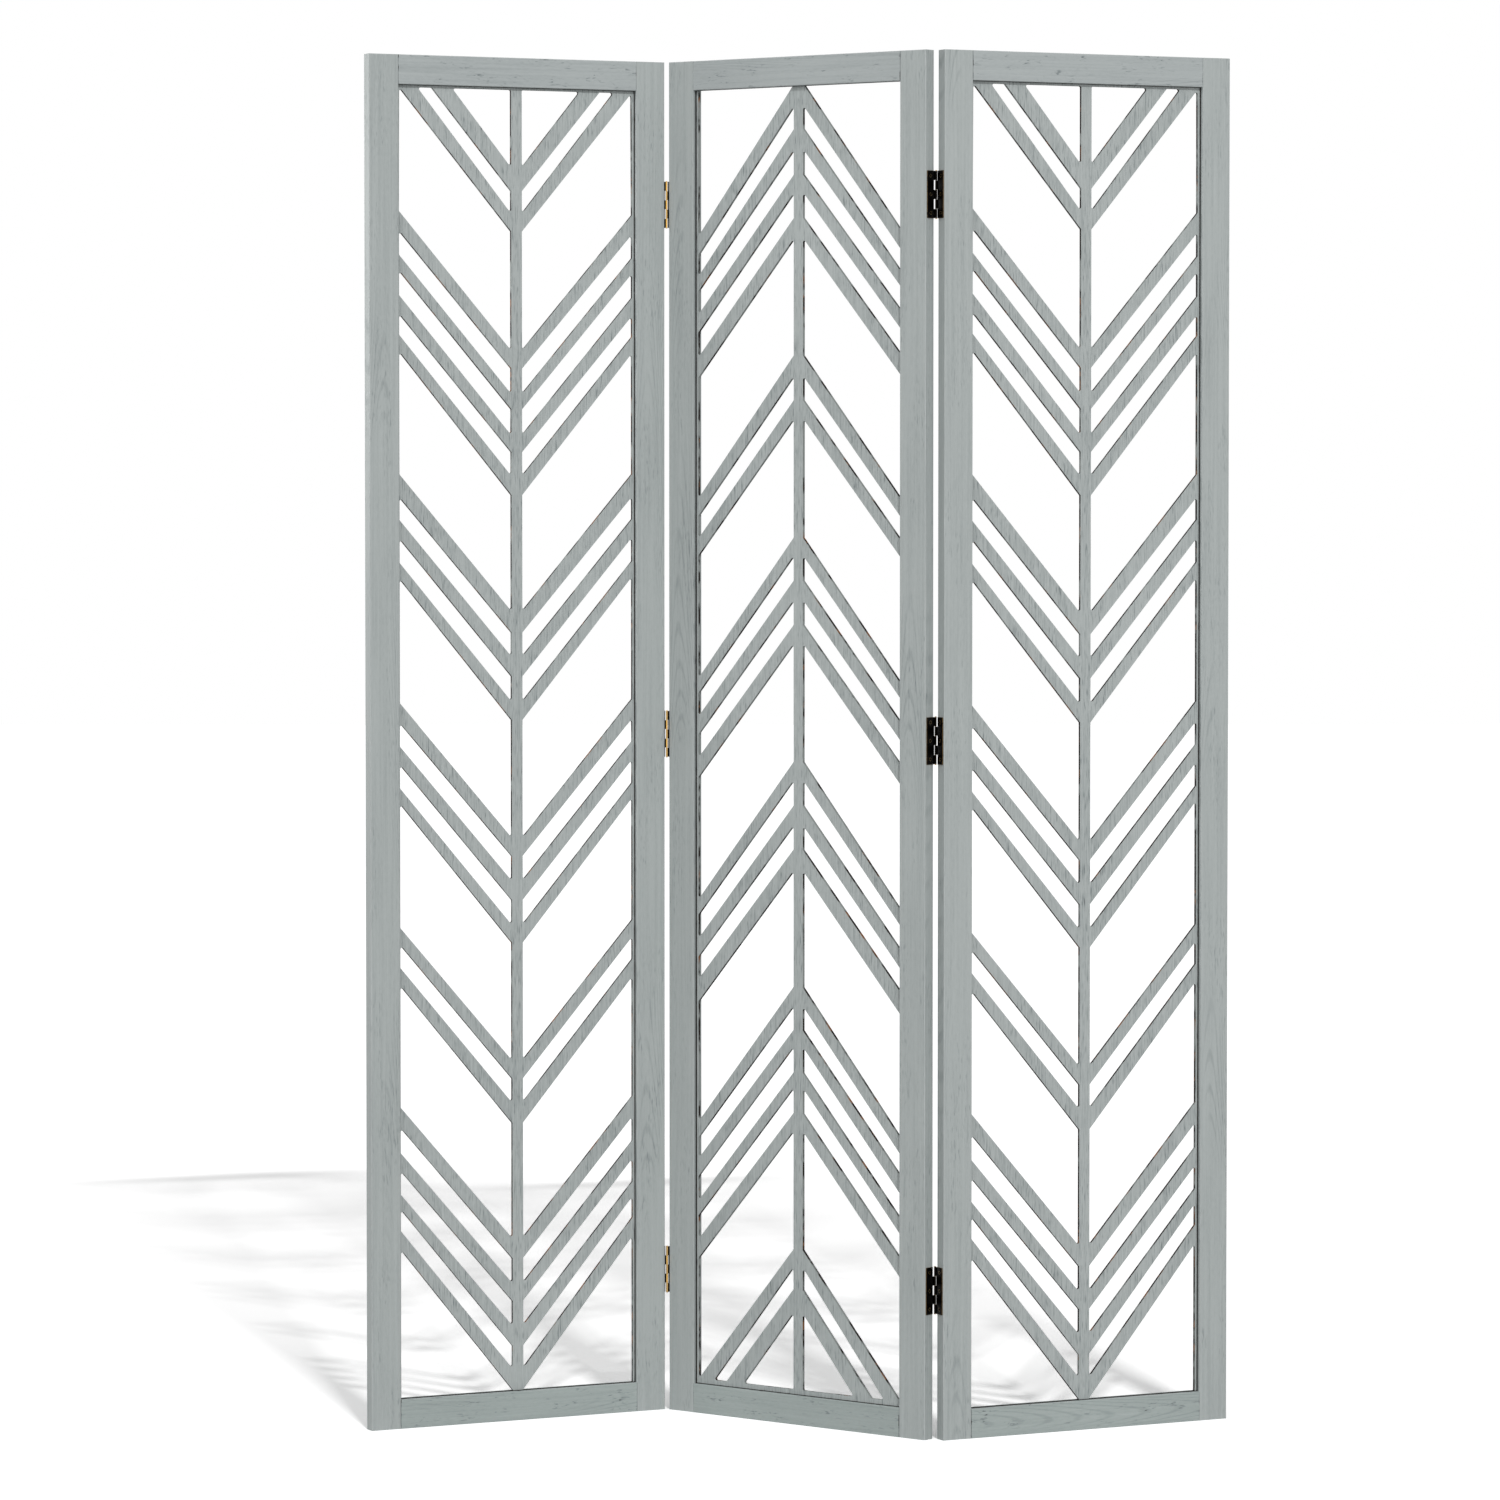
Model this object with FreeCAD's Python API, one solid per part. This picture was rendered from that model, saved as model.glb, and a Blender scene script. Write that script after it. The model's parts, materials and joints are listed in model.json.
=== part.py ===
import FreeCAD, Part
import math
import os

# Folding screen: three framed lattice panels that stand in a Z, joined by six butt hinges.
# Millimetres, +Z up, front faces towards -Y, origin under the middle of the screen on the floor.
# A panel is drawn in its own frame: X from its left edge, Y from its front face, Z from the floor.

# Panel frame
PANEL_WIDTH = 400.0
PANEL_HEIGHT = 1700.0
FRAME_THICKNESS = 17.0
STILE_WIDTH = 39.0
RAIL_WIDTH = 36.5
ARRIS_RADIUS = 1.0

# Stance: the middle panel's turn from the viewer, and each fold, where 0 is flat and 180 is shut
MIDDLE_TURN_DEG = -38.0
LEFT_FOLD_DEG = 63.6
RIGHT_FOLD_DEG = 63.6

# Grooves: the head groove is deeper, so that the lattice sheet can be lifted in and dropped
STILE_GROOVE_DEPTH = 8.0
FOOT_GROOVE_DEPTH = 7.0
HEAD_GROOVE_DEPTH = 11.0
GROOVE_SIDE_GAP = 1.5

# Lattice sheet, and the slack between its edges and the groove floors
SHEET_THICKNESS = 4.0
SHEET_SIDE_SLACK = 0.5
SHEET_HEAD_SLACK = 0.7

# Lattice pattern: bars rise from a central spine at both sides, as a V in an outer panel. The first
# bar's rise and the last bar's drop are at the spine, from the rails
SPINE_WIDTH = 14.5
SIDE_BORDER = 3.0
HEAD_BORDER = 3.0
FOOT_OVERRUN = 1.5
CUT_CORNER_RADIUS = 2.0
FIRST_BAR_RISE = 5.5
LAST_BAR_DROP = 122.5
BAR_HEIGHT = 24.0
BAR_PITCH = 54.5
BAR_ANGLE_DEG = 48.6

# Groups of bars from the foot up, as shares of the sizes above: pitch of the group, then for each
# bar its height, the slope of its lower edge and the slope of its upper edge
BAR_GROUP_SHARES = (
    (1.01, (1.11, 1.06, 0.92, 1.05), (1.08, 1.05, 1.00, 1.00), (1.06, 1.01, 1.00, 1.00)),
    (1.00, (1.06, 0.95), (1.04, 1.01), (1.02, 1.00)),
    (1.00, (0.93, 1.00, 0.94), (1.04, 1.01, 0.99), (1.02, 1.00, 1.00)),
    (1.02, (0.95, 1.02, 1.09), (1.04, 1.01, 0.99), (1.02, 1.00, 1.00)),
    (0.96, (0.99, 0.86, 0.79, 0.92), (1.04, 1.00, 1.00, 0.99), (1.02, 1.01, 1.00, 1.00)),
    (0.985, (0.90, 1.20), (1.035, 1.04), (1.075, 1.07)),
)

# Dowels, two in each corner joint, placed by shares of the rail's solid height beside its groove
DOWEL_RADIUS = 3.0
DOWEL_LENGTH = 36.0
DOWEL_HOLE_CLEARANCE = 0.05
DOWEL_END_CLEARANCE = 0.5
DOWEL_PLACE_SHARES = (0.27, 0.73)

# Butt hinges. Half the gap is the distance from the pin's axis to the stile's edge face
HINGE_LENGTH = 58.0
HALF_GAP = 1.6
KNUCKLE_COUNT = 5
KNUCKLE_RADIUS = 1.3
KNUCKLE_GAP = 0.3
PIN_RADIUS = 0.65
PIN_CLEARANCE = 0.05
PIN_HEAD_RADIUS = 1.2
PIN_HEAD_HEIGHT = 0.6
PIN_END_GAP = 0.1
PIN_STANDOFF = 2.5
LEAF_THICKNESS = 1.0
LEAF_REACH = 14.5
LEAF_CORNER_RADIUS = 1.0

# The notches between a leaf's knuckles are cut deep on one leaf, which leaves a slot beside the barrel.
# That is the left-hand leaf, except on the hinges named here
DEEP_NOTCH_MARGIN = 2.5
SHALLOW_NOTCH_MARGIN = 0.8
DEEP_ON_THE_RIGHT = (("right", "middle"),)

# Heights of each joint's hinges, from the ends of the panel and from its middle
LEFT_HINGE_FOOT_INSET = 178.5
LEFT_HINGE_MIDDLE_RISE = 6.0
LEFT_HINGE_HEAD_INSET = 178.5
RIGHT_HINGE_FOOT_INSET = 183.0
RIGHT_HINGE_MIDDLE_RISE = 8.0
RIGHT_HINGE_HEAD_INSET = 175.5

# Countersunk screws, three in each leaf
SCREW_COUNT = 3
SCREW_END_INSET = 6.4
SCREW_INSET = 7.7
SCREW_LENGTH = 14.0
SCREW_HEAD_RADIUS = 2.3
SCREW_SHANK_RADIUS = 1.2
SCREW_TIP_LENGTH = 2.5
SCREW_TIP_RADIUS = 0.2
SCREW_CLEARANCE = 0.05
CROSS_RECESS_WIDTH = 0.6
CROSS_RECESS_LENGTH = 2.6
CROSS_RECESS_DEPTH = 0.5

# One overrun serves every cut that must pass through a surface
OVERRUN = 1.0

# Points closer than the first count as one point, and the second is the same for angles in radians
POINT_TOLERANCE = 0.001
ANGLE_TOLERANCE = 0.01

X_AXIS = FreeCAD.Vector(1, 0, 0)
Y_AXIS = FreeCAD.Vector(0, 1, 0)
Z_AXIS = FreeCAD.Vector(0, 0, 1)

# Sizes that follow from the ones above
FOOT_GROOVE_FLOOR = RAIL_WIDTH - FOOT_GROOVE_DEPTH
HEAD_GROOVE_FLOOR = PANEL_HEIGHT - RAIL_WIDTH + HEAD_GROOVE_DEPTH
SHEET_LOW = FOOT_GROOVE_FLOOR
SHEET_HIGH = HEAD_GROOVE_FLOOR - SHEET_HEAD_SLACK
SHEET_LEFT = STILE_WIDTH - STILE_GROOVE_DEPTH + SHEET_SIDE_SLACK
SHEET_FRONT = (FRAME_THICKNESS - SHEET_THICKNESS) / 2
HALF_GROOVE = SHEET_THICKNESS / 2 + GROOVE_SIDE_GAP
MIDDLE_DEPTH = FRAME_THICKNESS / 2
LEAF_END = PIN_STANDOFF + LEAF_REACH
HINGE_HEIGHTS = {
    "left": {
        "lower": LEFT_HINGE_FOOT_INSET,
        "middle": PANEL_HEIGHT / 2 + LEFT_HINGE_MIDDLE_RISE,
        "upper": PANEL_HEIGHT - LEFT_HINGE_HEAD_INSET,
    },
    "right": {
        "lower": RIGHT_HINGE_FOOT_INSET,
        "middle": PANEL_HEIGHT / 2 + RIGHT_HINGE_MIDDLE_RISE,
        "upper": PANEL_HEIGHT - RIGHT_HINGE_HEAD_INSET,
    },
}


def block(low, high):
    """A box between two opposite corners."""
    size = [end - start for start, end in zip(low, high)]
    return Part.makeBox(size[0], size[1], size[2], FreeCAD.Vector(*low))


def edges_along(shape, direction):
    """The edges of a shape that run parallel to a direction."""
    return [edge for edge in shape.Edges
            if edge.tangentAt(edge.FirstParameter).isParallel(direction, ANGLE_TOLERANCE)]


def eased_bar(low, high, along):
    """A planed bar of wood whose long arrises, parallel to the axis along, are eased."""
    bar = block(low, high)
    return bar.makeFillet(ARRIS_RADIUS, edges_along(bar, along))


def group_step():
    """The rise from the last bar of a group to the first of the next, which shares out what is left."""
    bars_run = sum(BAR_PITCH * pitch_share * (len(height_shares) - 1)
                   for pitch_share, height_shares, _, _ in BAR_GROUP_SHARES)
    window_height = PANEL_HEIGHT - 2 * RAIL_WIDTH
    return (window_height - FIRST_BAR_RISE - LAST_BAR_DROP - bars_run) / (len(BAR_GROUP_SHARES) - 1)


def edge_lines():
    """The lower and upper edge of each bar, from the foot up, as (height at the spine, slope)."""
    slope = math.tan(math.radians(BAR_ANGLE_DEG))
    height = RAIL_WIDTH + FIRST_BAR_RISE
    step = group_step()
    lines = []
    for pitch_share, *bar_shares in BAR_GROUP_SHARES:
        for height_share, lower_share, upper_share in zip(*bar_shares):
            half_bar = BAR_HEIGHT * height_share / 2
            lower_edge = (height - half_bar, slope * lower_share)
            upper_edge = (height + half_bar, slope * upper_share)
            lines.append((lower_edge, upper_edge))
            height += BAR_PITCH * pitch_share
        height += step - BAR_PITCH * pitch_share
    return lines


def kept_side(points, line, above):
    """The part of a closed outline that lies above, or below, a sloping line."""
    height_at_spine, slope = line
    sign = 1 if above else -1
    kept = []
    for start, end in zip(points, points[1:] + points[:1]):
        start_side = sign * (start[1] - height_at_spine - slope * start[0])
        end_side = sign * (end[1] - height_at_spine - slope * end[0])
        if start_side >= 0:
            kept.append(start)
        if start_side * end_side < 0:
            share = start_side / (start_side - end_side)
            kept.append(tuple(a + share * (b - a) for a, b in zip(start, end)))
    return kept


def without_short_sides(points):
    """The outline without corners that lie closer to the corner before them than a cut's radius."""
    return [point for before, point in zip(points[-1:] + points[:-1], points)
            if math.dist(before, point) > CUT_CORNER_RADIUS]


def opening_outlines():
    """Outlines of the openings at one side of the spine, as (distance from spine, height)."""
    near = SPINE_WIDTH / 2
    far = PANEL_WIDTH / 2 - STILE_WIDTH - SIDE_BORDER
    foot = RAIL_WIDTH - FOOT_OVERRUN
    head = PANEL_HEIGHT - RAIL_WIDTH - HEAD_BORDER
    window = [(near, foot), (far, foot), (far, head), (near, head)]
    lines = edge_lines()
    outlines = [kept_side(window, lines[0][0], above=False)]
    for bar_below, bar_above in zip(lines, lines[1:]):
        outlines.append(kept_side(kept_side(window, bar_below[1], above=True), bar_above[0], above=False))
    outlines.append(kept_side(window, lines[-1][1], above=True))
    return [without_short_sides(outline) for outline in outlines]


def rounded_wire(points):
    """A closed wire through corner vectors, each corner rounded by the cutter's radius."""
    edges = []
    joints = []
    for before, corner, after in zip(points[-1:] + points[:-1], points, points[1:] + points[:1]):
        back = before - corner
        ahead = after - corner
        half_angle = back.getAngle(ahead) / 2
        setback = min(CUT_CORNER_RADIUS / math.tan(half_angle), back.Length / 2, ahead.Length / 2)
        radius = setback * math.tan(half_angle)
        back.normalize()
        ahead.normalize()
        inward = (back + ahead).normalize()
        start = corner + back * setback
        end = corner + ahead * setback
        crest = corner + inward * (radius / math.sin(half_angle) - radius)
        joints.append((start, end))
        edges.append(Part.Arc(start, crest, end).toShape())
    for (_, leave), (arrive, _) in zip(joints, joints[1:] + joints[:1]):
        if leave.distanceToPoint(arrive) > POINT_TOLERANCE:
            edges.append(Part.LineSegment(leave, arrive).toShape())
    return Part.Wire(Part.sortEdges(edges)[0])


def lattice_sheet(upside_down):
    """One routed sheet with its chevron openings, resting on the foot rail's groove floor."""
    sheet = block((SHEET_LEFT, SHEET_FRONT, SHEET_LOW),
                  (PANEL_WIDTH - SHEET_LEFT, SHEET_FRONT + SHEET_THICKNESS, SHEET_HIGH))
    cuts = []
    for outline in opening_outlines():
        for side in (-1, 1):
            corners = [FreeCAD.Vector(PANEL_WIDTH / 2 + side * distance, SHEET_FRONT - OVERRUN, height)
                       for distance, height in outline]
            face = Part.Face(rounded_wire(corners))
            cuts.append(face.extrude(Y_AXIS * (SHEET_THICKNESS + 2 * OVERRUN)))
    sheet = sheet.cut(Part.makeCompound(cuts))
    if upside_down:
        centre = FreeCAD.Vector(PANEL_WIDTH / 2, MIDDLE_DEPTH, (SHEET_LOW + SHEET_HIGH) / 2)
        sheet.rotate(centre, Y_AXIS, 180)
    return sheet


def dowel_heights():
    """Heights of the dowels in the foot joints, then in the head joints."""
    head_solid = PANEL_HEIGHT - HEAD_GROOVE_FLOOR
    foot = [share * FOOT_GROOVE_FLOOR for share in DOWEL_PLACE_SHARES]
    head = [PANEL_HEIGHT - share * head_solid for share in DOWEL_PLACE_SHARES]
    return foot + head


def dowel_rods(radius, length):
    """Rods across the eight dowel places of a panel, centred on the joints of stile and rail."""
    rods = []
    for joint in (STILE_WIDTH, PANEL_WIDTH - STILE_WIDTH):
        for height in dowel_heights():
            start = FreeCAD.Vector(joint - length / 2, MIDDLE_DEPTH, height)
            rods.append(Part.makeCylinder(radius, length, start, X_AXIS))
    return Part.makeCompound(rods)


def dowel_holes():
    """The holes that the dowels sit in."""
    return dowel_rods(DOWEL_RADIUS + DOWEL_HOLE_CLEARANCE, DOWEL_LENGTH + 2 * DOWEL_END_CLEARANCE)


def stile(right_hand, hinge_edges):
    """A full-height upright, grooved on its inner edge and drilled for dowels and hinge screws."""
    bar = eased_bar((0, 0, 0), (STILE_WIDTH, FRAME_THICKNESS, PANEL_HEIGHT), Z_AXIS)
    groove = block((STILE_WIDTH - STILE_GROOVE_DEPTH, MIDDLE_DEPTH - HALF_GROOVE, FOOT_GROOVE_FLOOR),
                   (STILE_WIDTH + OVERRUN, MIDDLE_DEPTH + HALF_GROOVE, HEAD_GROOVE_FLOOR))
    bar = bar.cut(groove)
    if right_hand:
        bar.rotate(FreeCAD.Vector(PANEL_WIDTH / 2, MIDDLE_DEPTH, 0), Z_AXIS, 180)
    bar = bar.cut(dowel_holes())
    for edge in hinge_edges:
        if edge.right_hand == right_hand:
            bar = bar.cut(edge.pilot_holes())
    return bar


def rail(at_head):
    """A cross rail between the stiles, grooved along the edge that faces the lattice."""
    if at_head:
        low = PANEL_HEIGHT - RAIL_WIDTH
        groove_low, groove_high = low - OVERRUN, HEAD_GROOVE_FLOOR
    else:
        low = 0
        groove_low, groove_high = FOOT_GROOVE_FLOOR, RAIL_WIDTH + OVERRUN
    bar = eased_bar((STILE_WIDTH, 0, low),
                    (PANEL_WIDTH - STILE_WIDTH, FRAME_THICKNESS, low + RAIL_WIDTH), X_AXIS)
    groove = block((STILE_WIDTH - OVERRUN, MIDDLE_DEPTH - HALF_GROOVE, groove_low),
                   (PANEL_WIDTH - STILE_WIDTH + OVERRUN, MIDDLE_DEPTH + HALF_GROOVE, groove_high))
    return bar.cut(groove).cut(dowel_holes())


def knuckle_spans(first):
    """The spans along the pin that every second knuckle takes, counted from first."""
    pitch = HINGE_LENGTH / KNUCKLE_COUNT
    low = -HINGE_LENGTH / 2
    return [(low + index * pitch + KNUCKLE_GAP / 2, low + (index + 1) * pitch - KNUCKLE_GAP / 2)
            for index in range(first, KNUCKLE_COUNT, 2)]


def screw_heights():
    """Heights of the screws on a leaf, from the leaf's middle."""
    outermost = HINGE_LENGTH / 2 - SCREW_END_INSET
    spacing = 2 * outermost / (SCREW_COUNT - 1)
    return [index * spacing - outermost for index in range(SCREW_COUNT)]


def screw_blank(clearance):
    """A countersunk screw's body, or the hole for it, pointing along +X from the leaf's open face."""
    head = SCREW_HEAD_RADIUS + clearance
    shank = SCREW_SHANK_RADIUS + clearance
    tip = SCREW_TIP_RADIUS + clearance
    end = SCREW_LENGTH + clearance
    profile = [(0, 0), (0, head), (LEAF_THICKNESS, shank), (end - SCREW_TIP_LENGTH, shank),
               (end, tip), (end, 0)]
    points = [FreeCAD.Vector(along, radius, 0) for along, radius in profile]
    face = Part.Face(Part.makePolygon(points + points[:1]))
    return face.revolve(FreeCAD.Vector(0, 0, 0), X_AXIS, 360)


def screw():
    """A countersunk screw with a cross recess in its head."""
    half_width = CROSS_RECESS_WIDTH / 2
    half_length = CROSS_RECESS_LENGTH / 2
    upright = block((-OVERRUN, -half_width, -half_length), (CROSS_RECESS_DEPTH, half_width, half_length))
    level = block((-OVERRUN, -half_length, -half_width), (CROSS_RECESS_DEPTH, half_length, half_width))
    return screw_blank(0).cut(upright.fuse(level))


def on_screw_places(shape):
    """Copies of a shape at the screw places of a leaf, in the hinge's own frame."""
    copies = []
    for height in screw_heights():
        place = FreeCAD.Vector(HALF_GAP - LEAF_THICKNESS, PIN_STANDOFF + SCREW_INSET, height)
        copies.append(shape.translated(place))
    return Part.makeCompound(copies)


def hinge_leaf(first_knuckle, notch_margin):
    """A leaf in the hinge's frame: pin along Z, stile's edge face at X of half the gap."""
    half_length = HINGE_LENGTH / 2
    inner = HALF_GAP - LEAF_THICKNESS
    notch_end = KNUCKLE_RADIUS + notch_margin
    leaf = block((inner, notch_end, -half_length), (HALF_GAP, LEAF_END, half_length))
    middle = (notch_end + LEAF_END) / 2
    corners = [edge for edge in edges_along(leaf, X_AXIS) if edge.BoundBox.Center.y > middle]
    leaf = leaf.makeFillet(LEAF_CORNER_RADIUS, corners)
    for low, high in knuckle_spans(first_knuckle):
        neck = block((inner, 0, low), (HALF_GAP, notch_end, high))
        knuckle = Part.makeCylinder(KNUCKLE_RADIUS, high - low, FreeCAD.Vector(0, 0, low), Z_AXIS)
        leaf = leaf.fuse(neck.fuse(knuckle))
    bore = Part.makeCylinder(PIN_RADIUS + PIN_CLEARANCE, HINGE_LENGTH + 2 * OVERRUN,
                             FreeCAD.Vector(0, 0, -half_length - OVERRUN), Z_AXIS)
    return leaf.cut(bore).cut(on_screw_places(screw_blank(SCREW_CLEARANCE))).removeSplitter()


def hinge_pin():
    """The hinge pin with its two peened heads."""
    half_length = HINGE_LENGTH / 2 + PIN_END_GAP
    pin = Part.makeCylinder(PIN_RADIUS, 2 * half_length, FreeCAD.Vector(0, 0, -half_length), Z_AXIS)
    for direction in (Z_AXIS, -Z_AXIS):
        head = Part.makeCylinder(PIN_HEAD_RADIUS, PIN_HEAD_HEIGHT, direction * half_length, direction)
        rim_plane = direction * (half_length + PIN_HEAD_HEIGHT)
        rims = [edge for edge in head.Edges
                if edge.BoundBox.Center.distanceToPoint(rim_plane) < POINT_TOLERANCE]
        pin = pin.fuse(head.makeFillet(PIN_HEAD_HEIGHT / 2, rims))
    return pin.removeSplitter()


class HingeEdge:
    """A panel's edge that carries hinge leaves, with the pin before its front or behind its back."""

    def __init__(self, joint, right_hand, pin_behind):
        self.joint = joint
        self.heights = HINGE_HEIGHTS[joint]
        self.right_hand = right_hand
        self.pin_behind = pin_behind

    def notch_margin(self, level):
        """How far beyond the barrel the leaf's notches reach, on the hinge at one of the three levels."""
        deep = self.right_hand != ((self.joint, level) in DEEP_ON_THE_RIGHT)
        return DEEP_NOTCH_MARGIN if deep else SHALLOW_NOTCH_MARGIN

    def pin(self):
        """The pin's axis on the floor, in the panel's frame."""
        across = PANEL_WIDTH + HALF_GAP if self.right_hand else -HALF_GAP
        depth = FRAME_THICKNESS + PIN_STANDOFF if self.pin_behind else -PIN_STANDOFF
        return FreeCAD.Vector(across, depth, 0)

    def placement(self, height):
        """Carries a shape from the hinge's frame to the panel's frame at one height."""
        towards_stile = X_AXIS * (-1 if self.right_hand else 1)
        over_edge = Y_AXIS * (-1 if self.pin_behind else 1)
        turn = FreeCAD.Rotation(towards_stile, over_edge, towards_stile.cross(over_edge))
        return FreeCAD.Placement(self.pin() + Z_AXIS * height, turn)

    def pilot_holes(self):
        """Holes in the stile for the screws of every hinge on this edge."""
        holes = on_screw_places(screw_blank(SCREW_CLEARANCE))
        places = [self.placement(height) for height in self.heights.values()]
        return Part.makeCompound([placed(holes, place) for place in places])


def placed(shape, placement):
    """A copy of a shape, moved by a placement."""
    copy = shape.copy()
    copy.Placement = placement.multiply(copy.Placement)
    return copy


# Hinge edges: the left joint has its pins before the fronts, the right joint behind the backs
LEFT_PANEL_EDGE = HingeEdge("left", right_hand=True, pin_behind=False)
MIDDLE_LEFT_EDGE = HingeEdge("left", right_hand=False, pin_behind=False)
MIDDLE_RIGHT_EDGE = HingeEdge("right", right_hand=True, pin_behind=True)
RIGHT_PANEL_EDGE = HingeEdge("right", right_hand=False, pin_behind=True)


def panel_placements():
    """Where the three panels stand, with the middle panel's own corner at the origin."""
    middle = FreeCAD.Placement(FreeCAD.Vector(0, 0, 0), FreeCAD.Rotation(Z_AXIS, MIDDLE_TURN_DEG))
    placements = {"middle": middle}
    folds = (("left", LEFT_FOLD_DEG, LEFT_PANEL_EDGE, MIDDLE_LEFT_EDGE),
             ("right", RIGHT_FOLD_DEG, RIGHT_PANEL_EDGE, MIDDLE_RIGHT_EDGE))
    for name, fold, own_edge, middle_edge in folds:
        turn = FreeCAD.Rotation(Z_AXIS, MIDDLE_TURN_DEG + fold)
        base = middle.multVec(middle_edge.pin()) - turn.multVec(own_edge.pin())
        placements[name] = FreeCAD.Placement(base, turn)
    return placements


def panel_nodes(name, placement, hinge_edges):
    """The wooden pieces of one panel, in place."""
    pieces = {
        "left_stile": stile(False, hinge_edges),
        "right_stile": stile(True, hinge_edges),
        "head_rail": rail(True),
        "foot_rail": rail(False),
        "lattice": lattice_sheet(name == "middle"),
        "dowels": dowel_rods(DOWEL_RADIUS, DOWEL_LENGTH),
    }
    return {f"{name}_panel_{piece}": placed(shape, placement) for piece, shape in pieces.items()}


def hinge_nodes(joint, level, leaves):
    """The leaves, screws and pin of one hinge; leaves are (side, edge, placement, first knuckle)."""
    hinge = f"{joint}_{level}_hinge"
    nodes = {}
    for side, edge, placement, first_knuckle in leaves:
        place = placement.multiply(edge.placement(edge.heights[level]))
        leaf = hinge_leaf(first_knuckle, edge.notch_margin(level))
        nodes[f"{hinge}_{side}_leaf"] = placed(leaf, place)
        nodes[f"{hinge}_{side}_screws"] = placed(on_screw_places(screw()), place)
    nodes[f"{hinge}_pin"] = placed(hinge_pin(), place)
    return nodes


def all_nodes():
    """Every piece of the screen by name, with the origin under the middle of its outline."""
    placements = panel_placements()
    nodes = {}
    nodes.update(panel_nodes("left", placements["left"], [LEFT_PANEL_EDGE]))
    nodes.update(panel_nodes("middle", placements["middle"], [MIDDLE_LEFT_EDGE, MIDDLE_RIGHT_EDGE]))
    nodes.update(panel_nodes("right", placements["right"], [RIGHT_PANEL_EDGE]))

    # A leaf with the knuckles 0, 2 and 4 has three, and its partner has 1 and 3
    outer_first = {("left", "lower"): 1, ("left", "middle"): 1, ("left", "upper"): 0,
                   ("right", "lower"): 0, ("right", "middle"): 1, ("right", "upper"): 1}
    joint_edges = {"left": (LEFT_PANEL_EDGE, MIDDLE_LEFT_EDGE),
                   "right": (RIGHT_PANEL_EDGE, MIDDLE_RIGHT_EDGE)}
    for (joint, level), first in outer_first.items():
        outer_edge, middle_edge = joint_edges[joint]
        outer_leaf = ("outer", outer_edge, placements[joint], first)
        middle_leaf = ("inner", middle_edge, placements["middle"], 1 - first)
        nodes.update(hinge_nodes(joint, level, (outer_leaf, middle_leaf)))

    centre = screen_centre(nodes)
    for shape in nodes.values():
        shape.translate(-centre)
    return nodes


def screen_centre(nodes):
    """The middle of the whole screen's outline on the floor."""
    outline = FreeCAD.BoundBox()
    for shape in nodes.values():
        outline.add(shape.optimalBoundingBox(False))
    return FreeCAD.Vector(outline.Center.x, outline.Center.y, 0)


def main():
    """Write every piece as a STEP file of its own."""
    os.makedirs("parts", exist_ok=True)
    for name, shape in all_nodes().items():
        shape.exportStep(f"parts/{name}.step")
        print(f"{name}: {len(shape.Solids)} solids, valid {shape.isValid()}")


main()
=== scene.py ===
import json
import logging
import math
from collections.abc import Callable
from dataclasses import dataclass
from enum import Enum
from functools import partial
from typing import Any

import bpy
from mathutils import Matrix, Vector


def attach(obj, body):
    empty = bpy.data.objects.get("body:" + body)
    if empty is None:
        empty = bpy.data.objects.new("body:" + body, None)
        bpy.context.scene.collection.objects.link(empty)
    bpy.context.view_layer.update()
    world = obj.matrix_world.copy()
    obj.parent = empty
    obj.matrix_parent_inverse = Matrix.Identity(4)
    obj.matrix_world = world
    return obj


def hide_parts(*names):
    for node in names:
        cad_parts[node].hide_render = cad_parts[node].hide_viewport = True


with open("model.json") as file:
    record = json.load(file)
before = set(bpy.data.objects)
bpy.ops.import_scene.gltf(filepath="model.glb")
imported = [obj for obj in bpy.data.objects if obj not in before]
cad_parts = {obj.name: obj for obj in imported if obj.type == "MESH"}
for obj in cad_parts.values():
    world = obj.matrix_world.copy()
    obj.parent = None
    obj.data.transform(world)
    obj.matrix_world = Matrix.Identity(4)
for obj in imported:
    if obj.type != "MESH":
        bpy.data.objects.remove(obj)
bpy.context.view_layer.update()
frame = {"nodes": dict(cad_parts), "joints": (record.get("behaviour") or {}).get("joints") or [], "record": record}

# Folding screen: three painted frames with a chevron lattice each, on six butt hinges.
# Sizes are in millimetres and angles in degrees. A panel has its own frame: X from its left edge,
# Y from its front face into the depth, Z from the floor.

log = logging.getLogger("folding_screen")

# What links to a node's input, what all its inputs get, and the function that adds a node to one tree
Source = bpy.types.NodeSocket | bpy.types.Node
Inputs = dict[int | str, Any] | list[Any]
Adder = Callable[..., bpy.types.Node]
Pair = tuple[float, float]

MM = 0.001
PANEL_WIDTH = 400.0
PANEL_HEIGHT = 1700.0
FRAME_THICKNESS = 17.0
STILE_WIDTH = 39.0
RAIL_WIDTH = 36.5
# The grooves that hold the sheet reach less deep than this, and start this far from the frame's faces
GROOVE_DEPTH = 11.5
GROOVE_FROM_FACE = 5.0
HINGE_LENGTH = 58.0
HINGE_HEIGHTS = {"left": (178.5, 856.0, 1521.5), "right": (183.0, 858.0, 1524.5)}
# Where the three pins of each joint stand, in the screen's frame
PIN_PLACES = {joint["name"].removesuffix("_fold"): [place / MM for place in joint["pos_m"][:2]]
              for joint in frame["joints"]}


# Helpers


def linear(hex_colour: str) -> tuple[float, float, float, float]:
    """Turn an sRGB hex colour into linear RGBA.

    Args:
        hex_colour: Six hex digits.

    Returns:
        The linear colour with an alpha of 1.
    """
    shares = [int(hex_colour[at:at + 2], 16) / 255 for at in (0, 2, 4)]
    red, green, blue = (share / 12.92 if share <= 0.04045 else ((share + 0.055) / 1.055) ** 2.4
                        for share in shares)
    return red, green, blue, 1.0


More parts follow.
